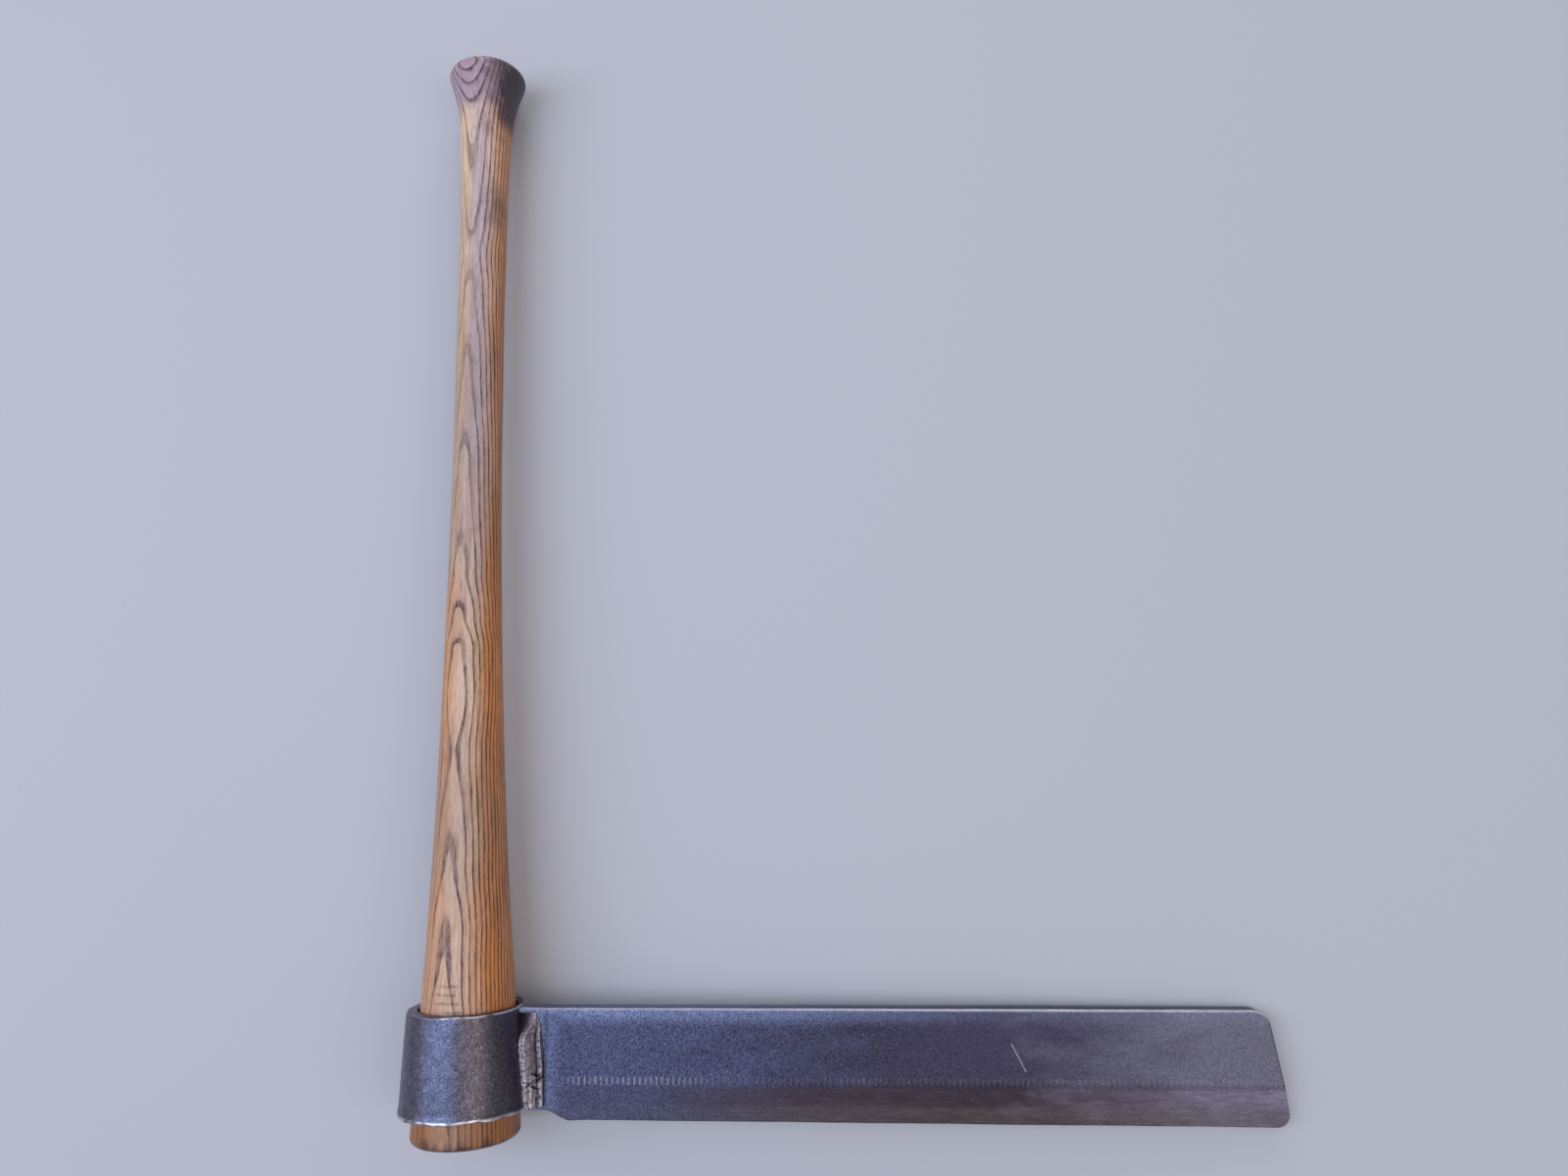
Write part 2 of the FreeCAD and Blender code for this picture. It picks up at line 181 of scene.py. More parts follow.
# Pits in a bead: how far across it from the eye, how far down it, and which way each one leans
PITS = ((0.66, 0.66, 1), (0.42, 0.74, -1), (0.60, 0.79, 1), (0.80, 0.71, -1))

# Each bead's piece, its node, the side of the blade it lies on and the seed of its ripples
BEADS = (("front_bead", "weld_front", 1, 1.3), ("back_bead", "weld_back", -1, 6.9))

# The photograph's camera, in the tool's frame
CAMERA_PLACE_MM = (171.3, 99.6, 540.0)
CAMERA_TURN_DEG = (10.139, 1.901, -1.687)
FOCAL_PIXELS = 1110.3
PHOTO_WIDTH_PIXELS = 1600
SENSOR_MM = 36.0

# Half the floor's width, in metres
FLOOR_HALF_WIDTH = 4.0

# Each lamp: name, direction it stands in, distance, width and depth in metres, power in watts and colour
LAMPS = (
    ("left_softbox", (-0.56, 0.0, 0.83), 1.8, 0.9, 2.2, 17, "#DCE8FF"),
    ("right_softbox", (0.5, -0.2, 0.84), 1.8, 0.7, 1.4, 6, "#FFF8F0"),
    ("back_strip", (0.1, 0.93, 0.36), 1.8, 1.6, 0.5, 6, "#FFFFFF"),
)


def linear(hex_colour):
    """Turn an sRGB hex colour into linear red, green and blue."""
    parts = [int(hex_colour[place:place + 2], 16) / 255 for place in (1, 3, 5)]
    return tuple(part / 12.92 if part <= 0.04045 else ((part + 0.055) / 1.055) ** 2.4 for part in parts)


def per_mm(size_mm):
    """Give the texture scale at which a pattern's grain is this many millimetres."""
    return 1 / (size_mm * MM)


def smooth_step(low, high, values):
    """Rise smoothly from 0 at the low value to 1 at the high one."""
    share = np.clip((values - low) / (high - low), 0, 1)
    return share * share * (3 - 2 * share)


def hump(values, middle, width):
    """Rise smoothly to 1 at the middle value and fall off on both sides of it."""
    return np.exp(-((values - middle) / width) ** 2)


def in_metres(zones_mm):
    """Turn a table of places in millimetres into metres."""
    return {name: [place * MM for place in places] for name, places in zones_mm.items()}


def find_tool_place():
    """Find where the tool's own frame lies: its origin on the handle's axis at the eye's top rim.

    X runs out along the blade, Y up the handle and Z out of the blade's near face.
    """
    up = -Vector(frame["joints"][0]["axis"]).normalized()
    spine = Vector(frame["record"]["mounts"][0]["axis"])
    facing = spine.cross(up).normalized()
    along = up.cross(facing)
    turn = Matrix((along, up, facing)).transposed()
    points = np.array([turn.transposed() @ vertex.co for vertex in frame["nodes"]["eye"].data.vertices])
    middle = (points.min(0) + points.max(0)) / 2
    place = turn @ Vector((middle[0], points[:, 1].max(), middle[2]))
    droop = math.atan2(spine.dot(along), spine.dot(up))
    return Matrix.Translation(place) @ turn.to_4x4(), Matrix.Rotation(-droop, 4, "Z")


tool_place, blade_droop = find_tool_place()


def read_outline(node):
    """Read a turned solid's outline: radius and height of each ring of its points, in millimetres."""
    inverse = tool_place.inverted()
    points = np.array([inverse @ vertex.co for vertex in frame["nodes"][node].data.vertices]) / MM
    radii = np.hypot(points[:, 0], points[:, 2])
    rings = {}
    for radius, height in zip(radii, points[:, 1].round(1)):
        rings[height] = max(radius, rings.get(height, 0))
    heights = sorted(rings)
    outline = [(0, heights[0])] + [(rings[height], height) for height in heights]
    if rings[heights[-1]] > 0.1:
        outline.append((0, heights[-1]))
    return np.array(outline)


def smooth_curve(points, step):
    """Run a smooth curve through points and return places along it about one step apart."""
    gaps = np.linalg.norm(np.diff(points, axis=0), axis=1)
    along = np.concatenate([[0], np.cumsum(gaps)])
    slopes = np.empty_like(points, dtype=float)
    slopes[1:-1] = (points[2:] - points[:-2]) / (along[2:] - along[:-2])[:, None]
    slopes[0] = (points[1] - points[0]) / gaps[0]
    slopes[-1] = (points[-1] - points[-2]) / gaps[-1]
    places = [points[:1]]
    for index, gap in enumerate(gaps):
        count = max(1, round(gap / step))
        share = (np.arange(count)[:, None] + 1) / count
        start, end = points[index], points[index + 1]
        places.append(
            start * (1 + 2 * share) * (1 - share) ** 2
            + slopes[index] * gap * share * (1 - share) ** 2
            + end * share ** 2 * (3 - 2 * share)
            + slopes[index + 1] * gap * share ** 2 * (share - 1)
        )
    return np.concatenate(places)


def walk(start, end, step):
    """List places a step apart between two points, without the points themselves."""
    count = max(1, round(np.linalg.norm(end - start) / step))
    return [start + (end - start) * index / count for index in range(1, count)]


def rounded_path(corners, step):
    """Walk a polyline of (x, y, rounding) corners and return its places and the middle of each round."""
    places = [np.array(corners[0][:2], float)]
    middles = []
    for index in range(1, len(corners) - 1):
        before, here, after = (np.array(corner[:2], float) for corner in corners[index - 1:index + 2])
        radius = corners[index][2]
        arriving = (here - before) / np.linalg.norm(here - before)
        leaving = (after - here) / np.linalg.norm(after - here)
        turn = math.atan2(arriving[0] * leaving[1] - arriving[1] * leaving[0], arriving @ leaving)
        cut = radius * math.tan(abs(turn) / 2)
        side = math.copysign(1, turn)
        centre = here - arriving * cut + side * radius * np.array([-arriving[1], arriving[0]])
        steps = max(4, 2 * math.ceil(radius * abs(turn) / step / 2))
        places += walk(places[-1], here - arriving * cut, step)
        spoke = here - arriving * cut - centre
        for place in range(steps + 1):
            angle = turn * place / steps
            swung = (
                spoke[0] * math.cos(angle) - spoke[1] * math.sin(angle),
                spoke[0] * math.sin(angle) + spoke[1] * math.cos(angle),
            )
            if place == steps // 2:
                middles.append(len(places))
            places.append(centre + swung)
    end = np.array(corners[-1][:2], float)
    places += walk(places[-1], end, step) + [end]
    return np.array(places), middles


def spread(path, axis, count):
    """Share out places along a path evenly by one of its coordinates."""
    order = np.argsort(path[:, axis], kind="stable")
    wanted = np.linspace(path[0, axis], path[-1, axis], count)
    other = 1 - axis
    placed = np.empty((count, 2))
    placed[:, axis] = wanted
    placed[:, other] = np.interp(wanted, path[order, axis], path[order, other])
    return placed


def fill_patch(top, bottom, left, right):
    """Fill the space between four border curves with a net of points, as rows from top to bottom."""
    across = np.linspace(0, 1, len(top))[None, :, None]
    down = np.linspace(0, 1, len(left))[:, None, None]
    edges = (
        (1 - down) * top[None] + down * bottom[None]
        + (1 - across) * left[:, None] + across * right[:, None]
    )
    corners = (
        (1 - down) * ((1 - across) * top[0] + across * top[-1])
        + down * ((1 - across) * bottom[0] + across * bottom[-1])
    )
    return edges - corners


def new_piece(name, points, faces, place):
    """Make a smooth mesh object from points in millimetres and set it in the tool's frame."""
    mesh = bpy.data.meshes.new(name)
    mesh.from_pydata((np.asarray(points) * MM).tolist(), [], faces)
    mesh.validate()
    mesh.shade_smooth()
    piece = bpy.data.objects.new(name, mesh)
    bpy.context.scene.collection.objects.link(piece)
    piece.matrix_world = place
    return piece


def ring_faces(ring_count, ring_size, closed=False):
    """List the faces that join rings of points, each to the next, and the last to the first if closed."""
    faces = []
    for ring in range(ring_count if closed else ring_count - 1):
        first = ring * ring_size
        second = (ring + 1) % ring_count * ring_size
        for place in range(ring_size):
            beside = (place + 1) % ring_size
            faces.append((first + place, first + beside, second + beside, second + place))
    return faces


def turned(profile, ring_size):
    """Turn a profile of (radius, height) about the handle's axis, as points, radii, heights and turns."""
    radii, heights = np.repeat(profile, ring_size, axis=0).T
    angle = np.tile(np.linspace(0, 2 * math.pi, ring_size, endpoint=False), len(profile))
    return np.column_stack([radii * np.sin(angle), heights, radii * np.cos(angle)]), radii, heights, angle


def noise_at(places, grain_mm, seed):
    """Give soft noise between -1 and 1 at each place, in millimetres."""
    shifted = np.asarray(places) / np.array(grain_mm) + seed
    return np.array([noise.noise(Vector(place)) for place in shifted])


def in_mm(settings, *names):
    """List some of a piece's sizes in millimetres."""
    return [getattr(settings, name) / MM for name in names]


def roughen(piece, layers):
    """Push the surface in and out by soft noise: each layer has a grain size, a depth and a seed."""
    mesh = piece.data
    count = len(mesh.vertices)
    places = np.empty(count * 3, np.float32)
    normals = np.empty(count * 3, np.float32)
    mesh.vertices.foreach_get("co", places)
    mesh.vertex_normals.foreach_get("vector", normals)
    places = places.reshape(-1, 3) / MM
    normals = normals.reshape(-1, 3)
    shifts = np.zeros(count)
    for grain_mm, depth_mm, seed in layers:
        shifts += depth_mm * noise_at(places, grain_mm, seed)
    mesh.vertices.foreach_set("co", ((places + normals * shifts[:, None]) * MM).astype(np.float32).ravel())
    mesh.update()


def paint(piece, name, values):
    """Keep one number for each point of the mesh, for its material to read."""
    attribute = piece.data.attributes.new(name, "FLOAT", "POINT")
    attribute.data.foreach_set("value", np.asarray(values, np.float32))


def add_node(tree, kind, *values, sockets=None, output=0, **settings):
    """Add a node with its settings and give one of its outputs.

    Each value is fixed or another node's output, and stands in the order of the node's sockets or
    under a socket's name. A MapRange takes a value, the two ends of its range and what they become.
    """
    node = tree.nodes.new("ShaderNode" + kind)
    for name, value in settings.items():
        if name == "ramp":
            stops = node.color_ramp.elements
            while len(stops) < len(value):
                stops.new(0.5)
            for stop, (position, shade) in zip(stops, value):
                stop.position = position
                stop.color = (*shade, 1)
        else:
            setattr(node, name, value)
    for name, value in (*enumerate(values), *(sockets or {}).items()):
        if isinstance(value, bpy.types.NodeSocket):
            tree.links.new(value, node.inputs[name])
        else:
            node.inputs[name].default_value = value
    return node.outputs[output] if node.outputs else None


def new_material(name):
    """Start an empty material and give it with the function that adds its nodes."""
    material = bpy.data.materials.new(name)
    material.use_nodes = True
    material.node_tree.nodes.clear()
    return material, partial(add_node, material.node_tree)


def tool_space(add, place):
    """Give the point that is shaded in the frame of the piece, which lies turned on the floor."""
    point = add("TexCoord", output="Object")
    return add(
        "Mapping", point, sockets={"Location": place.translation, "Rotation": place.to_euler()},
        vector_type="TEXTURE",
    )


def grain_noise(
    add, place, grain_mm, offset=0.0, detail=3.0, roughness=0.6, low=0.3, high=0.7, to=(0.0, 1.0),
):
    """Lay noise over a piece, with a grain of this many millimetres each way, spread to a range."""
    scale = [per_mm(size) for size in grain_mm]
    stretched = add("Mapping", place, sockets={"Scale": scale, "Location": (offset, offset, offset)})
    noisy = add("TexNoise", stretched, sockets={"Scale": 1.0, "Detail": detail, "Roughness": roughness})
    return add("MapRange", noisy, low, high, *to)


def finish_piece(piece, body, node, material):
    """Give a piece its material, set it on its body and let it stand for its solid."""
    piece.data.transform(piece.matrix_world)
    piece.matrix_world = Matrix()
    piece.data.materials.append(material)
    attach(piece, body)
    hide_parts(node)


def length(name, description, default_mm):
    """Describe a length that the user may change."""
    return bpy.props.FloatProperty(
        name=name, description=description, default=default_mm * MM, min=0, precision=4,
        unit="LENGTH", subtype="DISTANCE",
    )


def colour(name, description, default_hex):
    """Describe a colour that the user may change."""
    return bpy.props.FloatVectorProperty(
        name=name, description=description, default=linear(default_hex), size=3, min=0, max=1,
        subtype="COLOR",
    )


def rgba(value):
    """Add full opacity to a colour."""
    return (*value, 1)


class FroeHandleSettings(bpy.types.PropertyGroup):
    """Sizes and colours of the handle."""

    bow: length("Bow", "How far the shaft bends away from the blade at its middle", 1.2)
    ring_spacing: length("Ring spacing", "Width of one growth ring of the ash", 2.1)
    pith_distance: length(
        "Pith distance", "How far the middle of the tree lay from the handle's axis", 75.0,
    )
    pale_wood: colour("Pale wood", "Dense late wood of each ring", "#F0C8A8")
    warm_wood: colour("Warm wood", "Oiled wood on the side towards the blade", "#E08C40")
    strap: colour("Pale strap", "Palest wood, on the far side of the upper shaft", "#FDD8AC")
    # Painted sheen: a pale mauve reflection of the sky, laid as colour on the front of the shaft
    painted_sheen_colour: colour("Smoke", "Bloom that the flame left on the upper shaft", "#DCC4CC")
    knob_smoke: colour("Knob bloom", "Browner bloom that the flame left on the knob", "#BEA1AE")
    ring_line: colour("Ring line", "Open early wood, burnt dark by the torch", "#482A2E")
    scorch: colour("Scorch", "Burnt wood on the knob", "#30242C")


class FroeEyeSettings(bpy.types.PropertyGroup):
    """Sizes and colours of the eye."""

    top_radius: length("Top radius", "Outer radius of the eye's top rim", 28.0)
    foot_radius: length("Foot radius", "Outer radius of the eye's lower rim", 30.5)
    height: length("Height", "Height of the eye", 45.0)
    wall: length("Wall", "Thickness of the eye's wall", 5.8)
    rim_round: length("Rim round", "Round worn on the four rims", 0.6)
    scale: colour("Forge scale", "Dark oxide left by the forge", "#7A778C")
    # Colour of the painted reflection band down the eye's front
    painted_reflection_blue: colour("Blued steel", "Oxide coloured blue by the heat", "#5B6684")
    # The brown patina is also laid over the eye's right side as a painted dark reflection
    rust: colour("Brown patina", "Old rust rubbed down to brown", "#585056")
    bare: colour("Bare steel", "Steel rubbed bright on the rims", "#DCD6DE")


class FroeBladeSettings(bpy.types.PropertyGroup):
    """Sizes and colours of the blade."""

    thickness: length("Thickness", "Thickness of the bar", 9.5)
    spine_length: length("Spine length", "From the handle's axis to the tip, along the spine", 373.6)
    tip_length: length("Edge length", "From the handle's axis to the tip, along the edge", 382.0)
    tip_width: length("Tip width", "Width of the blade at its tip", 51.6)
    heel_length: length("Heel length", "From the handle's axis to the heel", 49.5)
    heel_width: length("Heel width", "Width of the blade at its heel", 50.2)
    neck_length: length("Neck length", "From the handle's axis to the end of the neck", 40.5)
    neck_width: length("Neck width", "Width of the neck", 45.0)
    bevel_shoulder: length("Bevel shoulder", "From the spine to where the ground bevel starts", 32.6)
    cutting_edge: length("Cutting edge", "Thickness left at the edge", 2.5)
    edge_break: length("Edge break", "Round on the blade's edges", 0.6)
    # Pale blue of the painted highlight beside the bead and under the spine
    painted_highlight_blue: colour("Scale at the root", "Pale blue oxide beside the bead", "#ABBDEE")
    # Scale colours along the blade: partly the oxide's own colour, partly painted reflection at the heel and tip
    # and painted shade in the middle
    heel_scale_and_reflection: colour("Scale at the heel", "Blue-grey oxide near the heel", "#70769E")
    middle_scale_and_shade: colour("Scale at the middle", "Dark oxide of the blade's middle", "#524D63")
    tip_scale_and_reflection: colour("Scale at the tip", "Greyer oxide towards the tip", "#7E7B8D")
    ground: colour("Ground bevel", "Steel of the bevel, ground and gone brown", "#5E505C")
    ground_low: colour("Bevel by the edge", "Olive-brown steel near the cutting edge", "#7C7472")
    ground_tip: colour("Bevel at the tip", "Paler steel of the bevel towards the tip", "#9B91A7")
    bare: colour("Bare steel", "Steel rubbed bright along the spine", "#F2EEF6")


class FroeWeldSettings(bpy.types.PropertyGroup):
    """Sizes and colours of the two weld beads."""

    blade_leg: length("Leg on the blade", "How far a bead reaches out along the blade", 7.6)
    eye_leg: length("Leg on the eye", "How far a bead stands up the eye's wall", 4.2)
    top_drop: length("Top drop", "From the eye's top rim to the end of a bead", 3.0)
    foot_rise: length("Foot rise", "From the eye's lower rim to the end of a bead", 0.6)
    bead: colour("Bead", "Weld metal rubbed grey", "#776E78")
    # Colour of the painted highlights on the bead's crests
    crest_highlight: colour("Crest", "Weld metal rubbed bright on its ridge", "#EADFE8")
    # Darker colour laid in the bead's valley, pits and toe
    crevice: colour("Crevice", "Dirt and scale in the bead's hollows", "#221D24")


class FroeStageSettings(bpy.types.PropertyGroup):
    """Floor and light."""

    floor: colour("Floor", "Plain pale floor", "#CFCFD6")
    sky: colour("Surroundings", "Soft light from all round", "#DCE0EA")
    sky_strength: bpy.props.FloatProperty(
        name="Surroundings strength", description="Strength of the light from all round",
        default=0.42, min=0,
    )


def ash_material(settings):
    """Torched and oiled ash: flame-blackened early wood stands as dark lines on orange-brown late wood."""
    material, add = new_material("torched_oiled_ash")
    place = tool_space(add, tool_place)
    zones = in_metres(HANDLE_ZONES_MM)
    height = add("SeparateXYZ", place, output="Y")
    upper = add("MapRange", height, *zones["upper_shaft"], interpolation_type="SMOOTHSTEP")

    # Runs from -1 on the side of the shaft away from the blade to 1 on the side towards it
    flat = add("VectorMath", place, (1, 0, 1), operation="MULTIPLY")
    outward = add("VectorMath", flat, operation="NORMALIZE")
    side = add("VectorMath", outward, BLADE_SIDE, operation="DOT_PRODUCT", output="Value")

    # The grain wanders by under a millimetre over a hand's length
    loose = add("Mapping", place, sockets={"Scale": [per_mm(size) for size in WANDER_GRAIN_MM]})
    wander = add(
        "TexNoise", loose, sockets={"Scale": 1.0, "Detail": 3.0, "Roughness": 0.5}, output="Color",
    )
    shifted = add(
        "VectorMath", wander, (WANDER_MM * MM, 0, WANDER_MM * MM), place, operation="MULTIPLY_ADD",
    )

    # The rings are round the pith, which lay in front of the blade's near face, a little to the left
    from_pith = add(
        "VectorMath", shifted,
        Vector(GRAIN_FACE) * settings.pith_distance + Vector((WANDER_MM, 0, WANDER_MM)) * MM / 2,
        operation="SUBTRACT",
    )
    flat = add("VectorMath", from_pith, (1, 0, 1), operation="MULTIPLY")
    distance = add("VectorMath", flat, operation="LENGTH", output="Value")
    drift = add("Attribute", attribute_name="ring_drift", output="Fac")
    ring = add("Math", distance, 1 / settings.ring_spacing, drift, operation="MULTIPLY_ADD")
    ring = add("Math", ring, operation="FRACT")
    narrow = grain_noise(add, place, (4, 38, 4), offset=3.0, to=(0.85, 1.6))
    narrow = add("Math", side, -0.25, narrow, operation="MULTIPLY_ADD")
    ring = add("Math", ring, narrow, operation="MULTIPLY", use_clamp=True)
    early = add(
        "ValToRGB", ring,
        ramp=(
            (0.0, (0.5, 0.5, 0.5)), (0.03, (1, 1, 1)), (0.24, (0.95, 0.95, 0.95)),
            (0.36, (0.3, 0.3, 0.3)), (0.6, (0.06, 0.06, 0.06)), (0.97, (0, 0, 0)),
        ),
    )

    # The flame left some stretches of a ring darker, and the side away from the blade faint
    keep = grain_noise(add, place, (3.5, 40, 3.5), offset=7.0, to=(0.55, 1.45))
    below_bite = add("MapRange", side, -0.6, 0.5, 0.64, 1.0)
    above_bite = add("MapRange", side, -0.5, 0.6, 0.45, 0.98)
    bite = add("MapRange", upper, 0, 1, below_bite, above_bite)
    on_knob = add("MapRange", height, *zones["knob_rings"], 0, 0.8)
    bite = add("Math", bite, on_knob, operation="MAXIMUM")
    for mask in (keep, bite):
        early = add("Math", early, mask, operation="MULTIPLY")

    # Pores of ash are about 0.3 mm wide: drawn at 0.7 mm so that they show as streaks
    pores = grain_noise(add, shifted, (0.7, 6, 0.7), detail=4.0, roughness=0.75, low=0.46, high=0.66)
    where = add("Math", early, 0.4, 0.55, operation="MULTIPLY_ADD")
    streaks = add("Math", pores, where, operation="MULTIPLY")
    burnt = add("Math", early, 0.8, operation="MULTIPLY")
    burnt = add("Math", streaks, 0.6, burnt, operation="MULTIPLY_ADD", use_clamp=True)

    # Oil and flame have warmed some stretches more than others, and both sides more than the front
    patches = grain_noise(add, place, (14, 60, 14), offset=4.0, low=0.35, high=0.65, to=(-0.1, 0.3))
    right = add("Math", upper, -0.3, side, operation="MULTIPLY_ADD")
    right = add("MapRange", right, -0.35, 0.75, 0, 0.97, interpolation_type="SMOOTHSTEP")
    left = add("MapRange", side, -0.3, -0.9, 0, 0.45, interpolation_type="SMOOTHSTEP")
    lower = add("Math", 1.0, upper, operation="SUBTRACT")
    left = add("Math", left, lower, operation="MULTIPLY")
    warm = add("Math", left, right, operation="MAXIMUM")
    warm = add("Math", warm, patches, operation="ADD")
    below_eye = add("MapRange", height, *zones["below_eye"], 0, 0.45)
    warm = add("Math", warm, below_eye, operation="ADD", use_clamp=True)
    wood = add("MixRGB", warm, rgba(settings.pale_wood), rgba(settings.warm_wood))

    # A pale golden strap runs up the far side of the upper shaft
    strap = add("MapRange", side, -0.25, -0.7, interpolation_type="SMOOTHSTEP")
    topmost = add("MapRange", height, *zones["strap"], 0.15, 1.0, interpolation_type="SMOOTHSTEP")
    gold = grain_noise(add, place, (2, 45, 2), offset=6.0, low=0.35, high=0.6, to=(0.6, 1.0))
    for mask in (topmost, upper, gold):
        strap = add("Math", strap, mask, operation="MULTIPLY")
    wood = add("MixRGB", strap, wood, rgba(settings.strap))

    # A painted sheen, the pale mauve reflection of the sky on the oiled front, lies on the middle of the upper
    # shaft and faintly lower down, and a browner bloom lies on the knob
    front = add("Math", side, 0.2, operation="ADD")
    front = add("Math", front, operation="ABSOLUTE")
    bloom = add("MapRange", front, 0.15, 0.7, 0.9, 0.06, interpolation_type="SMOOTHSTEP")
    thin = add("MapRange", upper, 0, 1, 0.12, 0.9)
    cloudy = grain_noise(add, place, (8, 40, 8), offset=9.0, low=0.25, high=0.6, to=(0.4, 1.0))
    for mask in (thin, cloudy):
        bloom = add("Math", bloom, mask, operation="MULTIPLY")
    wood = add("MixRGB", bloom, wood, rgba(settings.painted_sheen_colour))
    edge = grain_noise(add, place, (7, 12, 7), offset=2.0, to=(-4 * MM, 4 * MM))
    ragged = add("Math", height, edge, operation="ADD")
    knob = add("MapRange", ragged, *zones["knob_bloom"], 0, 0.95, interpolation_type="SMOOTHSTEP")
    wood = add("MixRGB", knob, wood, rgba(settings.knob_smoke))

    # Flame and oil have darkened each stretch of the shaft, and some fibres more than others
    dusk = add("Attribute", attribute_name="dusk", output="Fac")
    lit = add("Math", 1.0, dusk, operation="SUBTRACT")
    tone = grain_noise(add, shifted, (1.8, 34, 1.8), offset=11.0, detail=4.0, to=(0.78, 1.16))
    lit = add("Math", lit, tone, operation="MULTIPLY")
    wood = add("VectorMath", wood, sockets={"Scale": lit}, operation="SCALE")
    wood = add("MixRGB", burnt, wood, rgba(settings.ring_line))

    # The knob is black on the side towards the blade, and so are the pin knot and the foot's lower edge
    facing = add(
        "VectorMath", place, (math.sin(BURNT_TURN), 0, math.cos(BURNT_TURN)), operation="DOT_PRODUCT",
        output="Value",
    )
    facing = add("Math", facing, edge, operation="ADD")
    black = add("MapRange", facing, -7 * MM, 10 * MM, 0, 0.95, interpolation_type="SMOOTHSTEP")
    above = add("MapRange", ragged, *zones["knob_burn"], interpolation_type="SMOOTHSTEP")
    black = add("Math", black, above, operation="MULTIPLY")
    knot = Vector((math.sin(KNOT_TURN) * 12, KNOT_HEIGHT_MM, math.cos(KNOT_TURN) * 12)) * MM
    reach = add("VectorMath", place, knot, operation="SUBTRACT")
    reach = add("VectorMath", reach, (1, 0.7, 1), operation="MULTIPLY")
    reach = add("VectorMath", reach, operation="LENGTH", output="Value")
    reach = add("Math", reach, edge, operation="ADD")
    smudge = add("MapRange", reach, 0 * MM, 12 * MM, 0.52, 0.0, interpolation_type="SMOOTHSTEP")
    foot = add("MapRange", ragged, *zones["foot_burn"], 0.75, 0.0, interpolation_type="SMOOTHSTEP")
    scorched = add("Math", smudge, black, operation="MAXIMUM")
    scorched = add("Math", scorched, foot, operation="MAXIMUM")

    # Dark bars lie across the front just above the eye, where the shaft has been driven and stained
    waver = add("Math", edge, 0.12, height, operation="MULTIPLY_ADD")
    bars = add("Math", waver, 2 * math.pi * per_mm(BAR_SPACING_MM), operation="MULTIPLY")
    bars = add("Math", bars, operation="SINE")
    bars = add("MapRange", bars, 0.1, 0.95, 0, 0.5)
    low_down = add("Math", height, BARS_HEIGHT_MM * MM, BARS_REACH_MM * MM, operation="COMPARE")
    window = add("Math", side, 0.42, operation="ADD")
    window = add("Math", window, operation="ABSOLUTE")
    window = add("MapRange", window, 0.2, 0.32, 1.0, 0.0)
    broken = grain_noise(add, place, (4, 2.5, 4), offset=13.0, low=0.36, high=0.55)
    for mask in (low_down, window, broken):
        bars = add("Math", bars, mask, operation="MULTIPLY")
    scorched = add("Math", scorched, bars, operation="MAXIMUM")
    wood = add("MixRGB", scorched, wood, rgba(settings.scorch))

    bump = add("Bump", sockets={"Height": burnt, "Strength": 0.4, "Distance": 0.2 * MM}, invert=True)
    rough = add("MapRange", burnt, 0, 1, 0.4, 0.6)
    shader = add(
        "BsdfPrincipled",
        sockets={
            "Base Color": wood, "Roughness": rough, "IOR": 1.5, "Normal": bump, "Coat Weight": 0.2,
            "Coat Roughness": 0.4,
        },
    )
    add("OutputMaterial", shader)
    return material


def eye_material(settings):
    """Forged steel tube, oiled over dark scale: brown where it rusted, bright where its rims are worn, with a
    painted blue reflection down its front and a painted dark reflection browning its right side.
    """
    material, add = new_material("oiled_forged_steel")
    place = tool_space(add, tool_place)
    cloud = grain_noise(add, place, (2.5, 3.5, 2.5), detail=4.0)
    steel = add("MixRGB", cloud, rgba(settings.scale), rgba(settings.rust))
    # Painted dark reflection: the brown patina colour is laid over the eye's right side, where it reflects the
    # dark surroundings
    x, z = (add("SeparateXYZ", place, output=axis) for axis in "XZ")
    turn = add("Math", x, z, operation="ARCTAN2")
    brown = add(
        "MapRange", turn, math.radians(0), math.radians(35), 0, 0.75, interpolation_type="SMOOTHSTEP",
    )
    steel = add("MixRGB", brown, steel, rgba(settings.rust))
    # Painted reflection: a blue band of sky laid down the eye just left of its front
    turn = add("Math", turn, math.radians(-8), operation="SUBTRACT")
    turn = add("Math", turn, operation="ABSOLUTE")
    blue = add(
        "MapRange", turn, math.radians(8), math.radians(22), 0.55, 0.0, interpolation_type="SMOOTHSTEP",
    )
    steel = add("MixRGB", blue, steel, rgba(settings.painted_reflection_blue))
    grit = grain_noise(add, place, (0.9, 0.9, 0.9), low=0.3, high=0.75)
    lift = add("MapRange", grit, 0, 1, 0.55, 1.5)
    steel = add("VectorMath", steel, sockets={"Scale": lift}, operation="SCALE")
    specks = grain_noise(add, place, (0.8, 1.1, 0.8), offset=5.0, low=0.58, high=0.7, to=(0.0, 0.3))
    steel = add("MixRGB", specks, steel, rgba(settings.bare))
    worn = add("Attribute", attribute_name="worn", output="Fac")
    steel = add("MixRGB", worn, steel, rgba(settings.bare))
    bump = add("Bump", sockets={"Height": grit, "Strength": 0.3, "Distance": 0.15 * MM})
    rough = add("MapRange", cloud, 0, 1, 0.34, 0.42)
    rough = add("Math", worn, -0.1, rough, operation="MULTIPLY_ADD")
    shader = add(
        "BsdfPrincipled",
        sockets={"Base Color": steel, "Metallic": 1.0, "Roughness": rough, "Normal": bump},
    )
    add("OutputMaterial", shader)
    return material


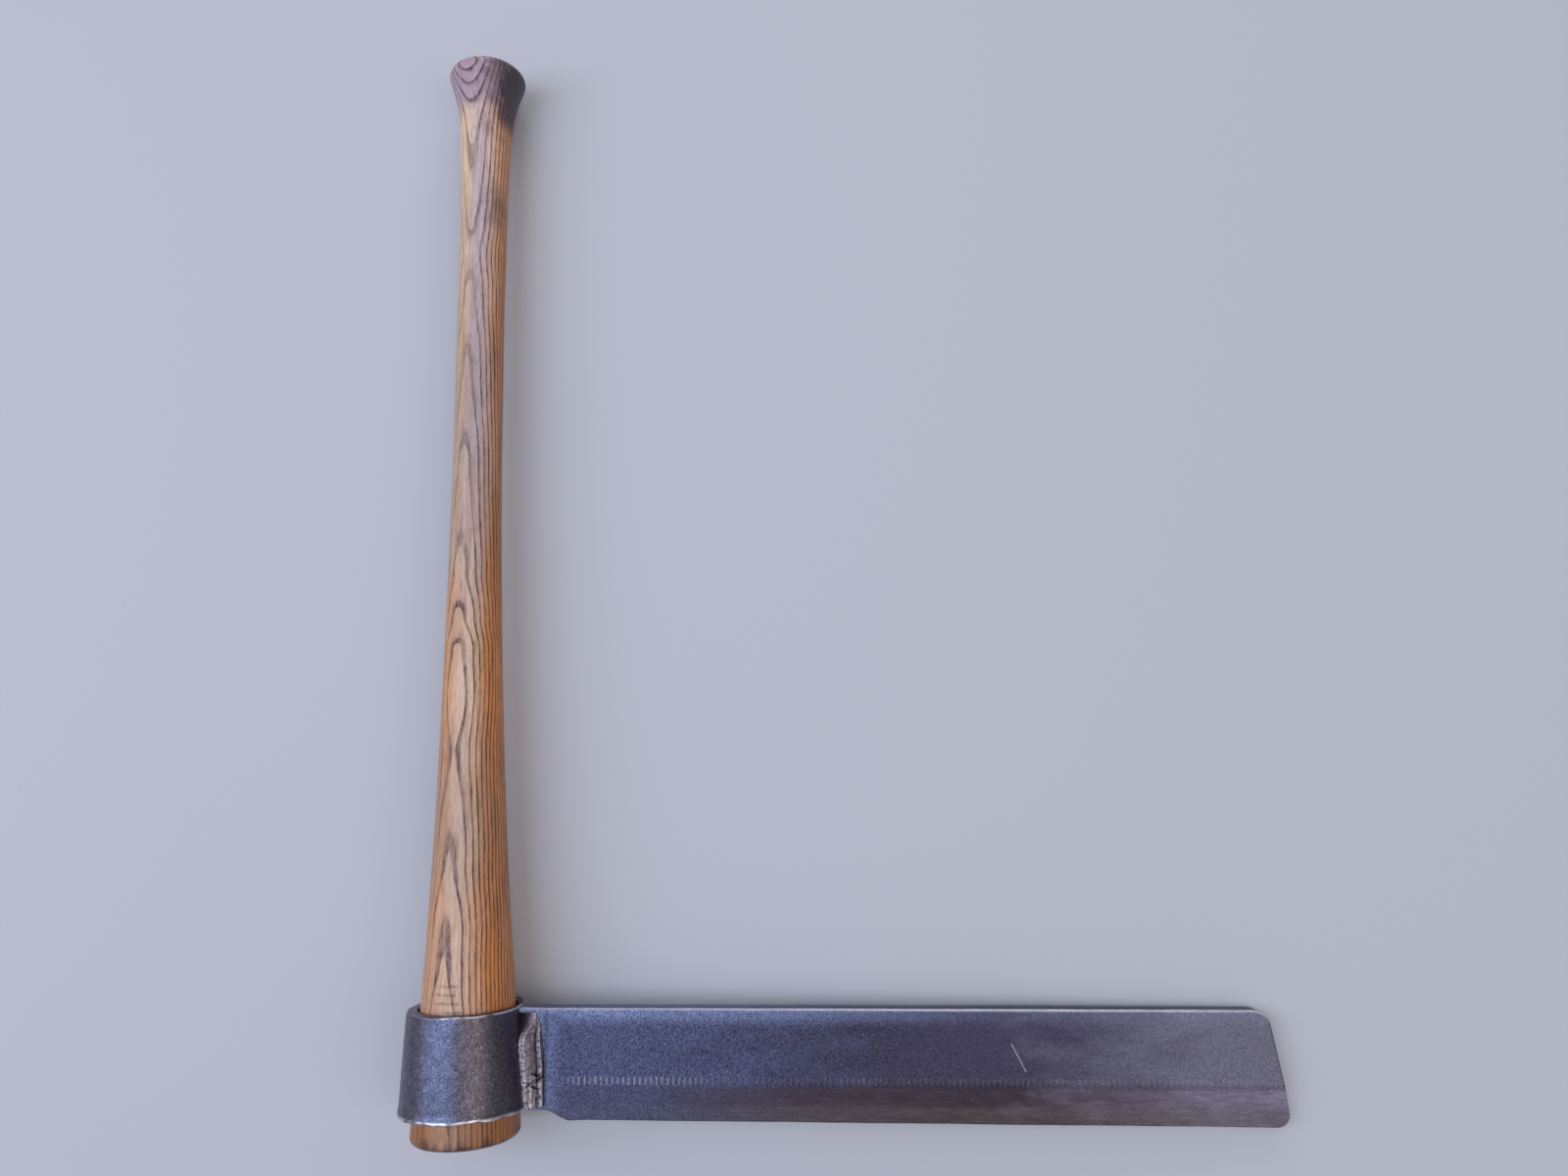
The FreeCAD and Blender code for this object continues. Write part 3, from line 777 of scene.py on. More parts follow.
def blade_material(settings):
    """Hammered bar with its blue-grey forge scale: a darker ground bevel and a bright worn spine, with painted
    reflections, highlights and shade laid into the scale's colour.
    """
    material, add = new_material("hammered_bar_steel")
    place = tool_space(add, tool_place @ blade_droop)
    zones = in_metres(BLADE_ZONES_MM)
    x, y, z = (add("SeparateXYZ", place, output=axis) for axis in "XYZ")
    # The scale's colour along the blade, blue-grey at the heel, dark in the middle and greyer at the tip, is
    # partly the oxide's own colour and partly painted reflection and painted shade
    cloud = grain_noise(add, place, (30, 12, 20), to=(-25 * MM, 25 * MM))
    along = add("Math", x, cloud, operation="ADD")
    along = add("Math", along, 1 / settings.tip_length, operation="MULTIPLY")
    steel = add(
        "ValToRGB", along,
        ramp=(
            (0.2, settings.heel_scale_and_reflection), (0.5, settings.middle_scale_and_shade), (0.68, settings.middle_scale_and_shade),
            (0.9, settings.tip_scale_and_reflection),
        ),
    )
    # Painted highlight: pale blue laid beside the bead and in a band under the spine, fading towards the tip
    root = add("MapRange", x, *zones["root"], 1.0, 0.0)
    under_spine = add("MapRange", y, *zones["under_spine"], interpolation_type="SMOOTHSTEP")
    fading = add("MapRange", x, *zones["pale_top"], 0.7, 0.1)
    pale = add("Math", under_spine, fading, operation="MULTIPLY")
    pale = add("Math", pale, root, operation="MAXIMUM")
    steel = add("MixRGB", pale, steel, rgba(settings.painted_highlight_blue))

    # The hammered scale is sandy, with grains about 1 mm wide drawn out across the bar
    grain = grain_noise(add, place, (0.6, 1.0, 1.0), roughness=0.7)
    calm = add("MapRange", x, *zones["coarse_grain"], 1.0, 0.45, interpolation_type="SMOOTHSTEP")
    lift = add("Math", grain, 0.5, operation="SUBTRACT")
    lift = add("Math", lift, calm, operation="MULTIPLY")
    lift = add("Math", lift, 1.6, 0.93, operation="MULTIPLY_ADD")
    steel = add("VectorMath", steel, sockets={"Scale": lift}, operation="SCALE")
    specks = grain_noise(
        add, place, (0.7, 1.5, 1.5), offset=5.0, detail=2.0, low=0.58, high=0.7, to=(0.0, 0.35),
    )
    specks = add("Math", specks, fading, operation="MULTIPLY")
    steel = add("MixRGB", specks, steel, rgba(settings.bare))
    # Painted shade darkens the groove beside the bead and the blade's edge walls
    dirt = add("Attribute", attribute_name="dirt", output="Fac")
    dirt = add("Math", dirt, -0.75, 1.0, operation="MULTIPLY_ADD")
    steel = add("VectorMath", steel, sockets={"Scale": dirt}, operation="SCALE")

    # Marks of the grinder's wheel stand like ticks along the shoulder, most of all near the heel
    wobble = add("Math", grain, 0.8 * MM, x, operation="MULTIPLY_ADD")
    tick = add("Math", wobble, 2 * math.pi * per_mm(TICK_SPACING_MM), operation="MULTIPLY")
    tick = add("Math", tick, operation="SINE")
    tick = add("MapRange", tick, 0.6, 0.9)
    off = add("Math", y, settings.bevel_shoulder - 0.5 * MM, operation="ADD")
    off = add("Math", off, operation="ABSOLUTE")
    near = add("MapRange", off, 1.2 * MM, 2.2 * MM, 1.0, 0.0, interpolation_type="SMOOTHSTEP")
    heelward = add("MapRange", x, *zones["ticks"], 1.0, 0.12)
    past_neck = add("MapRange", x, *zones["past_neck"])
    for mask in (near, heelward, past_neck):
        tick = add("Math", tick, mask, operation="MULTIPLY")

    # The bevel is ground in long strokes, browner towards the tip, and its upper border is ragged
    bevel = add("Attribute", attribute_name="bevel", output="Fac")
    hairs = grain_noise(add, place, (0.8, 7, 7), offset=8.0, to=(-1.8 * MM, 1.8 * MM))
    past = add("Math", hairs, y, operation="SUBTRACT")
    past = add(
        "MapRange", past, settings.bevel_shoulder + 0.3 * MM, settings.bevel_shoulder + 3.5 * MM,
        interpolation_type="SMOOTHSTEP",
    )
    browned = add("MapRange", x, *zones["brown_bevel"], 0.25, 1.0, interpolation_type="SMOOTHSTEP")
    for mask in (past, browned):
        bevel = add("Math", bevel, mask, operation="MULTIPLY")
    strokes = grain_noise(add, place, (9, 1.4, 9), detail=5.0, roughness=0.7)
    ground_lift = add("MapRange", strokes, 0, 1, 0.72, 1.3)
    ground = add(
        "ValToRGB", along,
        ramp=((0.2, settings.ground), (0.68, settings.ground), (0.9, settings.ground_tip)),
    )
    low_down = add("MapRange", y, *zones["by_the_edge"], 0, 0.5, interpolation_type="SMOOTHSTEP")
    ground = add("MixRGB", low_down, ground, rgba(settings.ground_low))
    ground = add("VectorMath", ground, sockets={"Scale": ground_lift}, operation="SCALE")
    steel = add("MixRGB", bevel, steel, ground)
    shine = add("Math", tick, 0.5, operation="MULTIPLY")

    # One bright scratch crosses the near face towards the tip
    start, end = (Vector((*corner, 0)) * MM for corner in SCRATCH_MM)
    course = (end - start).normalized()
    from_start = add("VectorMath", place, start, operation="SUBTRACT")
    down = add("VectorMath", from_start, course, operation="DOT_PRODUCT", output="Value")
    beside = add(
        "VectorMath", from_start, (course.y, -course.x, 0), operation="DOT_PRODUCT", output="Value",
    )
    beside = add("Math", beside, operation="ABSOLUTE")
    scratch = add("MapRange", beside, 0.05 * MM, 0.25 * MM, 0.6, 0.0)
    middle = (end - start).length / 2
    down = add("Math", down, middle, middle, operation="COMPARE")
    near_face = add("Math", z, 0.0, operation="GREATER_THAN")
    for mask in (down, near_face):
        scratch = add("Math", scratch, mask, operation="MULTIPLY")
    shine = add("Math", shine, scratch, operation="MAXIMUM")
    steel = add("MixRGB", shine, steel, rgba(settings.bare))
    # Worn spine edges, with a painted highlight along the near edge and just below it
    worn = add("Attribute", attribute_name="worn", output="Fac")
    steel = add("MixRGB", worn, steel, rgba(settings.bare))
    smooth = add("Math", bevel, -0.5, 1.0, operation="MULTIPLY_ADD")
    relief = add("Math", grain, smooth, operation="MULTIPLY")
    relief = add("Math", relief, calm, operation="MULTIPLY")
    bump = add("Bump", sockets={"Height": relief, "Strength": 1.0, "Distance": 0.35 * MM})
    rough = add("MapRange", worn, 0, 1, 0.38, 0.24)
    shader = add(
        "BsdfPrincipled",
        sockets={"Base Color": steel, "Metallic": 1.0, "Roughness": rough, "Normal": bump},
    )
    add("OutputMaterial", shader)
    return material


def weld_material(settings):
    """Weld metal as it set: rippled and grey, with painted highlights on its crests, and darker in its hollows."""
    material, add = new_material("weld_bead_steel")
    place = tool_space(add, tool_place)
    grit = grain_noise(add, place, (1.2, 1.6, 1.2))
    lift = add("MapRange", grit, 0, 1, 0.7, 1.35)
    bead = add("VectorMath", settings.bead, sockets={"Scale": lift}, operation="SCALE")
    # Painted highlights on the bead's crests
    shine = add("Attribute", attribute_name="shine", output="Fac")
    shine = add("Math", shine, 0.6, operation="MULTIPLY")
    bead = add("MixRGB", shine, bead, rgba(settings.crest_highlight))
    # Darker in the bead's valley, pits and toe
    crevice = add("Attribute", attribute_name="crevice", output="Fac")
    bead = add("MixRGB", crevice, bead, rgba(settings.crevice))
    bump = add("Bump", sockets={"Height": grit, "Strength": 0.4, "Distance": 0.2 * MM})
    shader = add(
        "BsdfPrincipled",
        sockets={"Base Color": bead, "Metallic": 1.0, "Roughness": 0.42, "Normal": bump},
    )
    add("OutputMaterial", shader)
    return material


class FROE_OT_handle(bpy.types.Operator):
    """Build the turned ash handle"""

    bl_idname = "froe.handle"
    bl_label = "Handle"

    def execute(self, context):
        settings = context.scene.froe_handle
        outline = smooth_curve(read_outline("handle"), HANDLE_STEP_MM)
        inner = outline[1:-1]
        points = turned(inner, HANDLE_RING_SIZE)[0]
        points = np.concatenate([points, [[0, outline[0, 1], 0], [0, outline[-1, 1], 0]]])
        faces = [face[::-1] for face in ring_faces(len(inner), HANDLE_RING_SIZE)]
        foot, top = len(points) - 2, len(points) - 1
        last = (len(inner) - 1) * HANDLE_RING_SIZE
        for place in range(HANDLE_RING_SIZE):
            beside = (place + 1) % HANDLE_RING_SIZE
            faces.append((foot, beside, place))
            faces.append((top, last + place, last + beside))

        # A shaved shaft is never quite round, and a pin knot stands up near the knob
        shaft = smooth_step(0, 8, points[:, 1])
        shaping = HOLLOWS_MM * noise_at(points, (16, 60, 16), 3.1)
        shaping += FACETS_MM * noise_at(points, (6, 20, 6), 8.7)
        knot = Vector((math.sin(KNOT_TURN), 0, math.cos(KNOT_TURN)))
        radius_there = np.hypot(points[:, 0], points[:, 2]) + 1e-9
        facing = (points[:, 0] * knot.x + points[:, 2] * knot.z) / radius_there
        swelling = KNOT_SWELLING_MM * hump(points[:, 1], KNOT_HEIGHT_MM, KNOT_REACH_MM)
        swelling *= smooth_step(0.3, 1, facing)
        shift = shaft * (shaping + swelling)
        points[:, 0] += points[:, 0] / radius_there * shift
        points[:, 2] += points[:, 2] / radius_there * shift
        share = np.clip(points[:, 1], 0, None) / SHAFT_MM
        points[:, 0] -= settings.bow / MM * 4 * share * (1 - share)

        # The rings are shifted along the shaft so that the flat-sawn face shows its course of rings
        course = np.array(RING_COURSE, float)
        here = np.clip(points[:, 1], course[0, 0], course[-1, 0])
        below = np.clip(np.searchsorted(course[:, 0], here, side="right") - 1, 0, len(course) - 2)
        step = smooth_step(course[below, 0], course[below + 1, 0], here)
        reached = course[below, 1] + (course[below + 1, 1] - course[below, 1]) * step
        face_depth = settings.pith_distance / MM - np.interp(here, outline[:, 1], outline[:, 0])
        piece = new_piece("ash_handle", points, faces, tool_place)
        paint(piece, "ring_drift", reached - face_depth / (settings.ring_spacing / MM))
        paint(piece, "dusk", np.interp(points[:, 1], *zip(*DUSK_COURSE)))
        finish_piece(piece, "handle", "handle", ash_material(settings))
        return {"FINISHED"}


class FROE_OT_eye(bpy.types.Operator):
    """Build the tapered eye"""

    bl_idname = "froe.eye"
    bl_label = "Eye"

    def execute(self, context):
        settings = context.scene.froe_eye
        top, foot, height, wall, rim = in_mm(
            settings, "top_radius", "foot_radius", "height", "wall", "rim_round",
        )
        middle = (foot + top) / 2
        corners = [
            (middle, -height / 2, 0), (top, 0, rim), (top - wall, 0, rim),
            (foot - wall, -height, rim), (foot, -height, rim), (middle, -height / 2, 0),
        ]
        profile = rounded_path(corners, EYE_STEP_MM)[0][:-1]
        points, radii, heights, angle = turned(profile, EYE_RING_SIZE)
        outside = smooth_step(-wall, 0, radii - (top + (foot - top) * -heights / height))

        # The rims wave where they were hammered, and the foot is drifted out a little
        round_rim = points * (1, 0, 1)
        wave = noise_at(round_rim, (9, 9, 9), 2.3) + 0.5 * noise_at(round_rim, (3, 3, 3), 6.3)
        near_top = smooth_step(-RIM_BAND_MM, 0, heights)
        near_foot = smooth_step(RIM_BAND_MM - height, -height, heights)
        points[:, 1] += TOP_WAVE_MM * wave * near_top - FOOT_WAVE_MM * wave * near_foot

        # The wall was squeezed in beside the blade, and the bore stands open beside the handle
        from_blade = np.degrees(np.abs((angle - math.pi / 2 + math.pi) % (2 * math.pi) - math.pi))
        beside_blade = hump(from_blade, 0, SQUEEZE_TURN_DEG)
        squeeze = SQUEEZE_MM * outside * beside_blade * smooth_step(-SQUEEZE_REACH_MM, 0, heights)
        open_top = smooth_step(-OPENING_REACH_MM, 0, heights)
        opening = OPENING_MM * (1 - outside) * np.sin(angle) ** 4 * open_top
        flare = FLARE_MM * near_foot * outside * (1 + wave)
        for shift in (opening - squeeze, flare):
            points[:, 0] += np.sin(angle) * shift
            points[:, 2] += np.cos(angle) * shift
        faces = ring_faces(len(profile), EYE_RING_SIZE, closed=True)
        piece = new_piece("steel_eye", points, faces, tool_place)
        roughen(piece, (((14, 30, 14), 0.12, 5.2), ((3, 3, 3), 0.03, 1.7)))

        to_top = np.hypot(radii - top + rim / 3, heights + rim / 3)
        to_foot = np.hypot(radii - foot, heights + height - 0.6) - 0.35
        on_rim = smooth_step(0.75, 0.3, np.minimum(to_top, to_foot))
        broken = smooth_step(-0.3, 0.3, noise_at(points, (4, 4, 4), 9.4))
        paint(piece, "worn", on_rim * (0.12 + 0.7 * broken))
        finish_piece(piece, "head", "eye", eye_material(settings))
        return {"FINISHED"}


class FROE_OT_blade(bpy.types.Operator):
    """Build the bevelled blade"""

    bl_idname = "froe.blade"
    bl_label = "Blade"

    def execute(self, context):
        scene = context.scene
        settings = scene.froe_blade
        eye = scene.froe_eye
        thickness, shoulder, cutting_edge, edge_break = in_mm(
            settings, "thickness", "bevel_shoulder", "cutting_edge", "edge_break",
        )
        half, edge = thickness / 2, cutting_edge / 2
        root = (eye.top_radius - eye.wall / 2) / MM
        spine, tip, tip_width, heel, heel_width, neck, neck_width = in_mm(
            settings, "spine_length", "tip_length", "tip_width", "heel_length", "heel_width",
            "neck_length", "neck_width",
        )
        path, middles = rounded_path([
            (root, 0, 0), (spine, 0, SPINE_CORNER_MM), (tip, -tip_width, EDGE_CORNER_MM),
            (heel, -heel_width, HEEL_ROUND_MM), (neck, -neck_width, NECK_ROUND_MM),
            (root, -neck_width, 0),
        ], BLADE_STEP_MM)
        tangents = np.gradient(path, axis=0)
        normals = np.column_stack([-tangents[:, 1], tangents[:, 0]])
        normals /= np.linalg.norm(normals, axis=1)[:, None]
        inset = path - normals * edge_break
        upper, lower = middles[:2]
        columns = BLADE_COLUMNS
        top = spread(inset[:upper + 1], 0, columns)
        right = inset[upper:lower + 1]
        bottom = spread(inset[lower:], 0, columns)[::-1]
        crossing = np.interp(shoulder, -right[:, 1], right[:, 0])
        shoulder_line = np.column_stack([
            np.linspace(root, crossing, columns), np.full(columns, -shoulder),
        ])
        keep = right[:, 1] > -shoulder
        right_upper = spread(np.vstack([right[keep], [crossing, -shoulder]]), 1, UPPER_ROWS)
        right_lower = spread(np.vstack([[crossing, -shoulder], right[~keep]]), 1, LOWER_ROWS)
        left_upper = np.linspace((root, top[0, 1]), (root, -shoulder), UPPER_ROWS)
        left_lower = np.linspace((root, -shoulder), (root, bottom[0, 1]), LOWER_ROWS)
        net = np.concatenate([
            fill_patch(top, shoulder_line, left_upper, right_upper),
            fill_patch(shoulder_line, bottom, left_lower, right_lower)[1:],
        ])
        rows = len(net)
        along, down = net[..., 0], -net[..., 1]

        # The bevel is flat from its shoulder to the edge and runs out towards the neck
        width = heel_width + (tip_width - heel_width) * (along - heel) / (tip - heel)
        ground = np.clip((down - shoulder) / (width - shoulder), 0, 1)
        ground *= smooth_step(*BEVEL_RUNOUT_MM, along)
        face = half - (half - edge) * ground

        # A groove is left in the face beside the weld bead
        groove = GROOVE_DEPTH_MM * hump(along, GROOVE_MM, GROOVE_WIDTH_MM)
        hollow = HOLLOW_DEPTH_MM * (1 - smooth_step(*HOLLOW_MM, along))
        bead_side = smooth_step(1.5, 6, down) * smooth_step(46, 43, down)
        beside_bead = (groove + hollow) * bead_side

        # Above the bead the face is hammered down towards the eye
        beside_bead += 0.1 * np.clip(37 - along, 0, 9) * smooth_step(9, 5, down)

        front = np.dstack([net, face - beside_bead])
        back = np.dstack([net, beside_bead - face])
        rim_order = (
            [(0, column) for column in range(columns)]
            + [(row, columns - 1) for row in range(1, rows)]
            + [(rows - 1, column) for column in range(columns - 2, -1, -1)]
            + [(row, 0) for row in range(rows - 2, 0, -1)]
        )
        rim = np.array([front[place] for place in rim_order])
        flat_rim = rim[:, :2]
        nearest = np.argmin(((flat_rim[:, None] - inset[None]) ** 2).sum(2), axis=1)
        outward = normals[nearest]
        outward[flat_rim[:, 0] < root + 0.01] = 0

        points = [front.reshape(-1, 3)]
        loops = [[row * columns + column for row, column in rim_order]]
        first_new = rows * columns
        rim_size = len(rim_order)
        # The first row of the near face below the spine takes a painted highlight
        wear_and_highlight = [np.where(np.arange(rows * columns) < columns, 0.4, 0.0)]
        bevel_share = [smooth_step(0.0, 0.16, ground).ravel()]
        rim_bevel = np.array([bevel_share[0][place] for place in loops[0]])
        levels = [(math.sin(turn), 1 - math.cos(turn)) for turn in np.radians(ROUND_CUTS_DEG)]
        depths = [(out, rim[:, 2] - edge_break * drop) for out, drop in levels]
        wall = rim[:, 2] - edge_break
        depths += [(1, wall * (1 - 2 * step / WALL_STEPS)) for step in range(1, WALL_STEPS)]
        depths += [(out, -(rim[:, 2] - edge_break * drop)) for out, drop in reversed(levels)]
        for index, (out, depth) in enumerate(depths):
            points.append(np.column_stack([flat_rim + outward * edge_break * out, depth]))
            loops.append(list(range(first_new, first_new + rim_size)))
            first_new += rim_size
            on_round = min(index, len(depths) - 1 - index) < len(levels) - 1
            wear_and_highlight.append(np.full(rim_size, float(on_round)))
            bevel_share.append(rim_bevel)
        back_start = first_new
        points.append(back.reshape(-1, 3))
        wear_and_highlight.append(np.zeros(rows * columns))
        bevel_share.append(bevel_share[0])
        loops.append([back_start + row * columns + column for row, column in rim_order])
        points = np.concatenate(points)
        wear_and_highlight = np.concatenate(wear_and_highlight)
        bevel_share = np.concatenate(bevel_share)

        faces = []
        for row in range(rows - 1):
            for column in range(columns - 1):
                here = row * columns + column
                faces.append((here, here + columns, here + columns + 1, here + 1))
                there = back_start + here
                faces.append((there, there + 1, there + columns + 1, there + columns))
        for first, second in zip(loops[:-1], loops[1:]):
            for place in range(rim_size):
                beside = (place + 1) % rim_size
                faces.append((first[place], first[beside], second[beside], second[place]))

        piece = new_piece("steel_blade", points, faces, tool_place @ blade_droop)
        roughen(piece, (
            ((26, 18, 26), 0.14, 4.4), ((7, 7, 7), 0.06, 2.9), ((1.7, 3.2, 2.5), 0.06, 6.1),
        ))
        # Worn spine edges; the near edge is painted brighter than the far one, as a painted highlight
        near_spine = smooth_step(-6, -1, points[:, 1]) * np.where(points[:, 2] > 0, 1, 0.25)
        breaks = smooth_step(-0.6, 0.2, noise_at(points, (9, 9, 9), 7.7))
        paint(piece, "worn", wear_and_highlight * near_spine * (0.75 + 0.25 * breaks))
        paint(piece, "bevel", bevel_share)
        # Painted shade in the groove beside the bead and on the edge walls, except on the worn spine edges
        dirt = 0.65 * hump(points[:, 0], GROOVE_MM - 0.3, 1.1)
        dirt *= smooth_step(-2, -6, points[:, 1]) * smooth_step(-46, -43, points[:, 1])
        on_rim = np.zeros(len(points))
        on_rim[rows * columns:back_start] = 0.8
        paint(piece, "dirt", np.maximum(dirt, on_rim * (1 - wear_and_highlight * near_spine)))
        finish_piece(piece, "head", "blade", blade_material(settings))
        return {"FINISHED"}


class FROE_OT_welds(bpy.types.Operator):
    """Build the weld beads on both faces of the blade"""

    bl_idname = "froe.welds"
    bl_label = "Weld beads"

    def execute(self, context):
        scene = context.scene
        settings = scene.froe_weld
        eye = scene.froe_eye
        face = scene.froe_blade.thickness / 2 / MM
        top, foot, height, wall = in_mm(eye, "top_radius", "foot_radius", "height", "wall")
        blade_leg, eye_leg, top_drop, foot_rise = in_mm(
            settings, "blade_leg", "eye_leg", "top_drop", "foot_rise",
        )
        material = weld_material(settings)
        for name, node, side, seed in BEADS:
            heights = np.linspace(-top_drop, foot_rise - height, BEAD_STEPS)
            across = np.linspace(0, 1, BEAD_STEPS_ACROSS)
            rings = []
            crevices = []
            shines = []
            for place in heights:
                share = (place + top_drop) / (foot_rise - height + top_drop)
                spread_on_eye = float(smooth_step(-0.02, 0.3, np.array(share)))
                spread_on_blade = min(1, 0.1 + share / 0.14)
                legs = 1 + 0.12 * math.sin(math.pi * share)
                radius = top + (foot - top) * -place / height
                corner = math.sqrt(radius ** 2 - face ** 2)
                toe_height = face + eye_leg * legs
                start = np.array([corner + 0.78 * blade_leg, face - 0.15])
                toe_on_eye = np.array([math.sqrt(radius ** 2 - toe_height ** 2) - 0.5, toe_height])
                toe_on_eye = start + (toe_on_eye - start) * (spread_on_eye, spread_on_eye ** 2)
                reach = min(corner + blade_leg * legs, GROOVE_MM - 1.1)
                toe_on_blade = np.array([reach, face - 0.15])
                toe_on_blade = start + (toe_on_blade - start) * spread_on_blade

                # Both toes are ragged, and the skin between them bulges away from the corner
                ragged_eye, ragged_blade, wander = (
                    noise.noise(Vector(where)) for where in
                    ((seed + 4, place / 1.8, 1.0), (seed + 8, place / 2.0, 1.0), (seed, place / 7, 2.0))
                )
                toe_on_eye[0] += 0.8 * spread_on_eye * ragged_eye
                toe_on_blade[0] -= 0.4 * spread_on_eye * abs(ragged_blade)
                wander *= 0.05
                chord = toe_on_blade - toe_on_eye
                outward = np.array([-chord[1], chord[0]]) / np.linalg.norm(chord)
                if outward[1] < 0:
                    outward = -outward
                line = toe_on_eye + across[:, None] * chord
                places = np.column_stack([across * 9, np.full(len(across), place), np.zeros(len(across))])
                ripple = noise_at(places, (3, 2.2, 3), seed)
                crown = CROWN_MM * np.sin(math.pi * np.minimum(1, across / CROWN_WIDTH))
                crown *= across < CROWN_WIDTH
                ridge = hump(across - wander, *RIDGE)
                valley = hump(across - wander, *VALLEY)
                lip = hump(across + wander, *LIP)
                pit = np.zeros(len(across))
                for pit_across, pit_share, lean in PITS:
                    off = across - pit_across - lean * (share - pit_share) * 6
                    down = share - pit_share - 0.1 * (side < 0)
                    pit += hump(off, 0, 0.055) * hump(down, 0, 0.028)
                streaks = smooth_step(-0.2, 0.3, noise_at(places, (0.9, 8, 3), seed + 5))
                streaks *= float(smooth_step(0.6, 0.8, np.array(share)))
                lumps = noise_at(places, (1.4, 1.1, 3), seed + 11)
                lift = crown + RIDGE_MM * ridge * (1 + 0.6 * ripple) + 0.15 * valley + 0.22 * ripple
                lift -= PIT_DEPTH_MM * pit
                lift += 0.3 * lip * (1 + lumps) + 0.1 * lumps * np.sin(math.pi * across)
                surface = line + outward * (lift * spread_on_eye)[:, None]

                # Three more points close the ring inside the blade and the eye's wall
                inside = radius - wall / 2
                hidden = [
                    (toe_on_blade[0], face - 1.2), (inside, face - 1.2), (inside, toe_on_eye[1] - 0.6),
                ]
                ring = np.vstack([surface, hidden])
                rings.append(np.column_stack([ring[:, 0], np.full(len(ring), place), side * ring[:, 1]]))
                # Darker in the bead's valley, its pits and along its toe
                toe = smooth_step(0.94, 1.0, across)
                crevice = np.clip(valley * 0.7 - 0.5 * lumps * valley + pit + toe, 0, 1)
                crevices.append(np.concatenate([crevice, [0, 0, 0]]))
                # Painted highlights on the ridge, the lip and the edge by the eye, and in streaks down the lower
                # bead
                edge_highlight = hump(across, *EDGE_HIGHLIGHT)
                shine = np.clip((ridge + edge_highlight + lip) * (0.7 + lumps) + streaks - pit - toe, 0, 1)
                shines.append(np.concatenate([shine, [0, 0, 0]]))
            ring_size = len(rings[0])
            points = np.concatenate(rings)
            faces = ring_faces(len(rings), ring_size)
            faces.append(tuple(range(ring_size))[::-1])
            faces.append(tuple(range((len(rings) - 1) * ring_size, len(rings) * ring_size)))
            if side > 0:
                faces = [face_corners[::-1] for face_corners in faces]
            piece = new_piece(name, points, faces, tool_place)
            paint(piece, "crevice", np.concatenate(crevices))
            paint(piece, "shine", np.concatenate(shines))
            finish_piece(piece, "head", node, material)
        return {"FINISHED"}


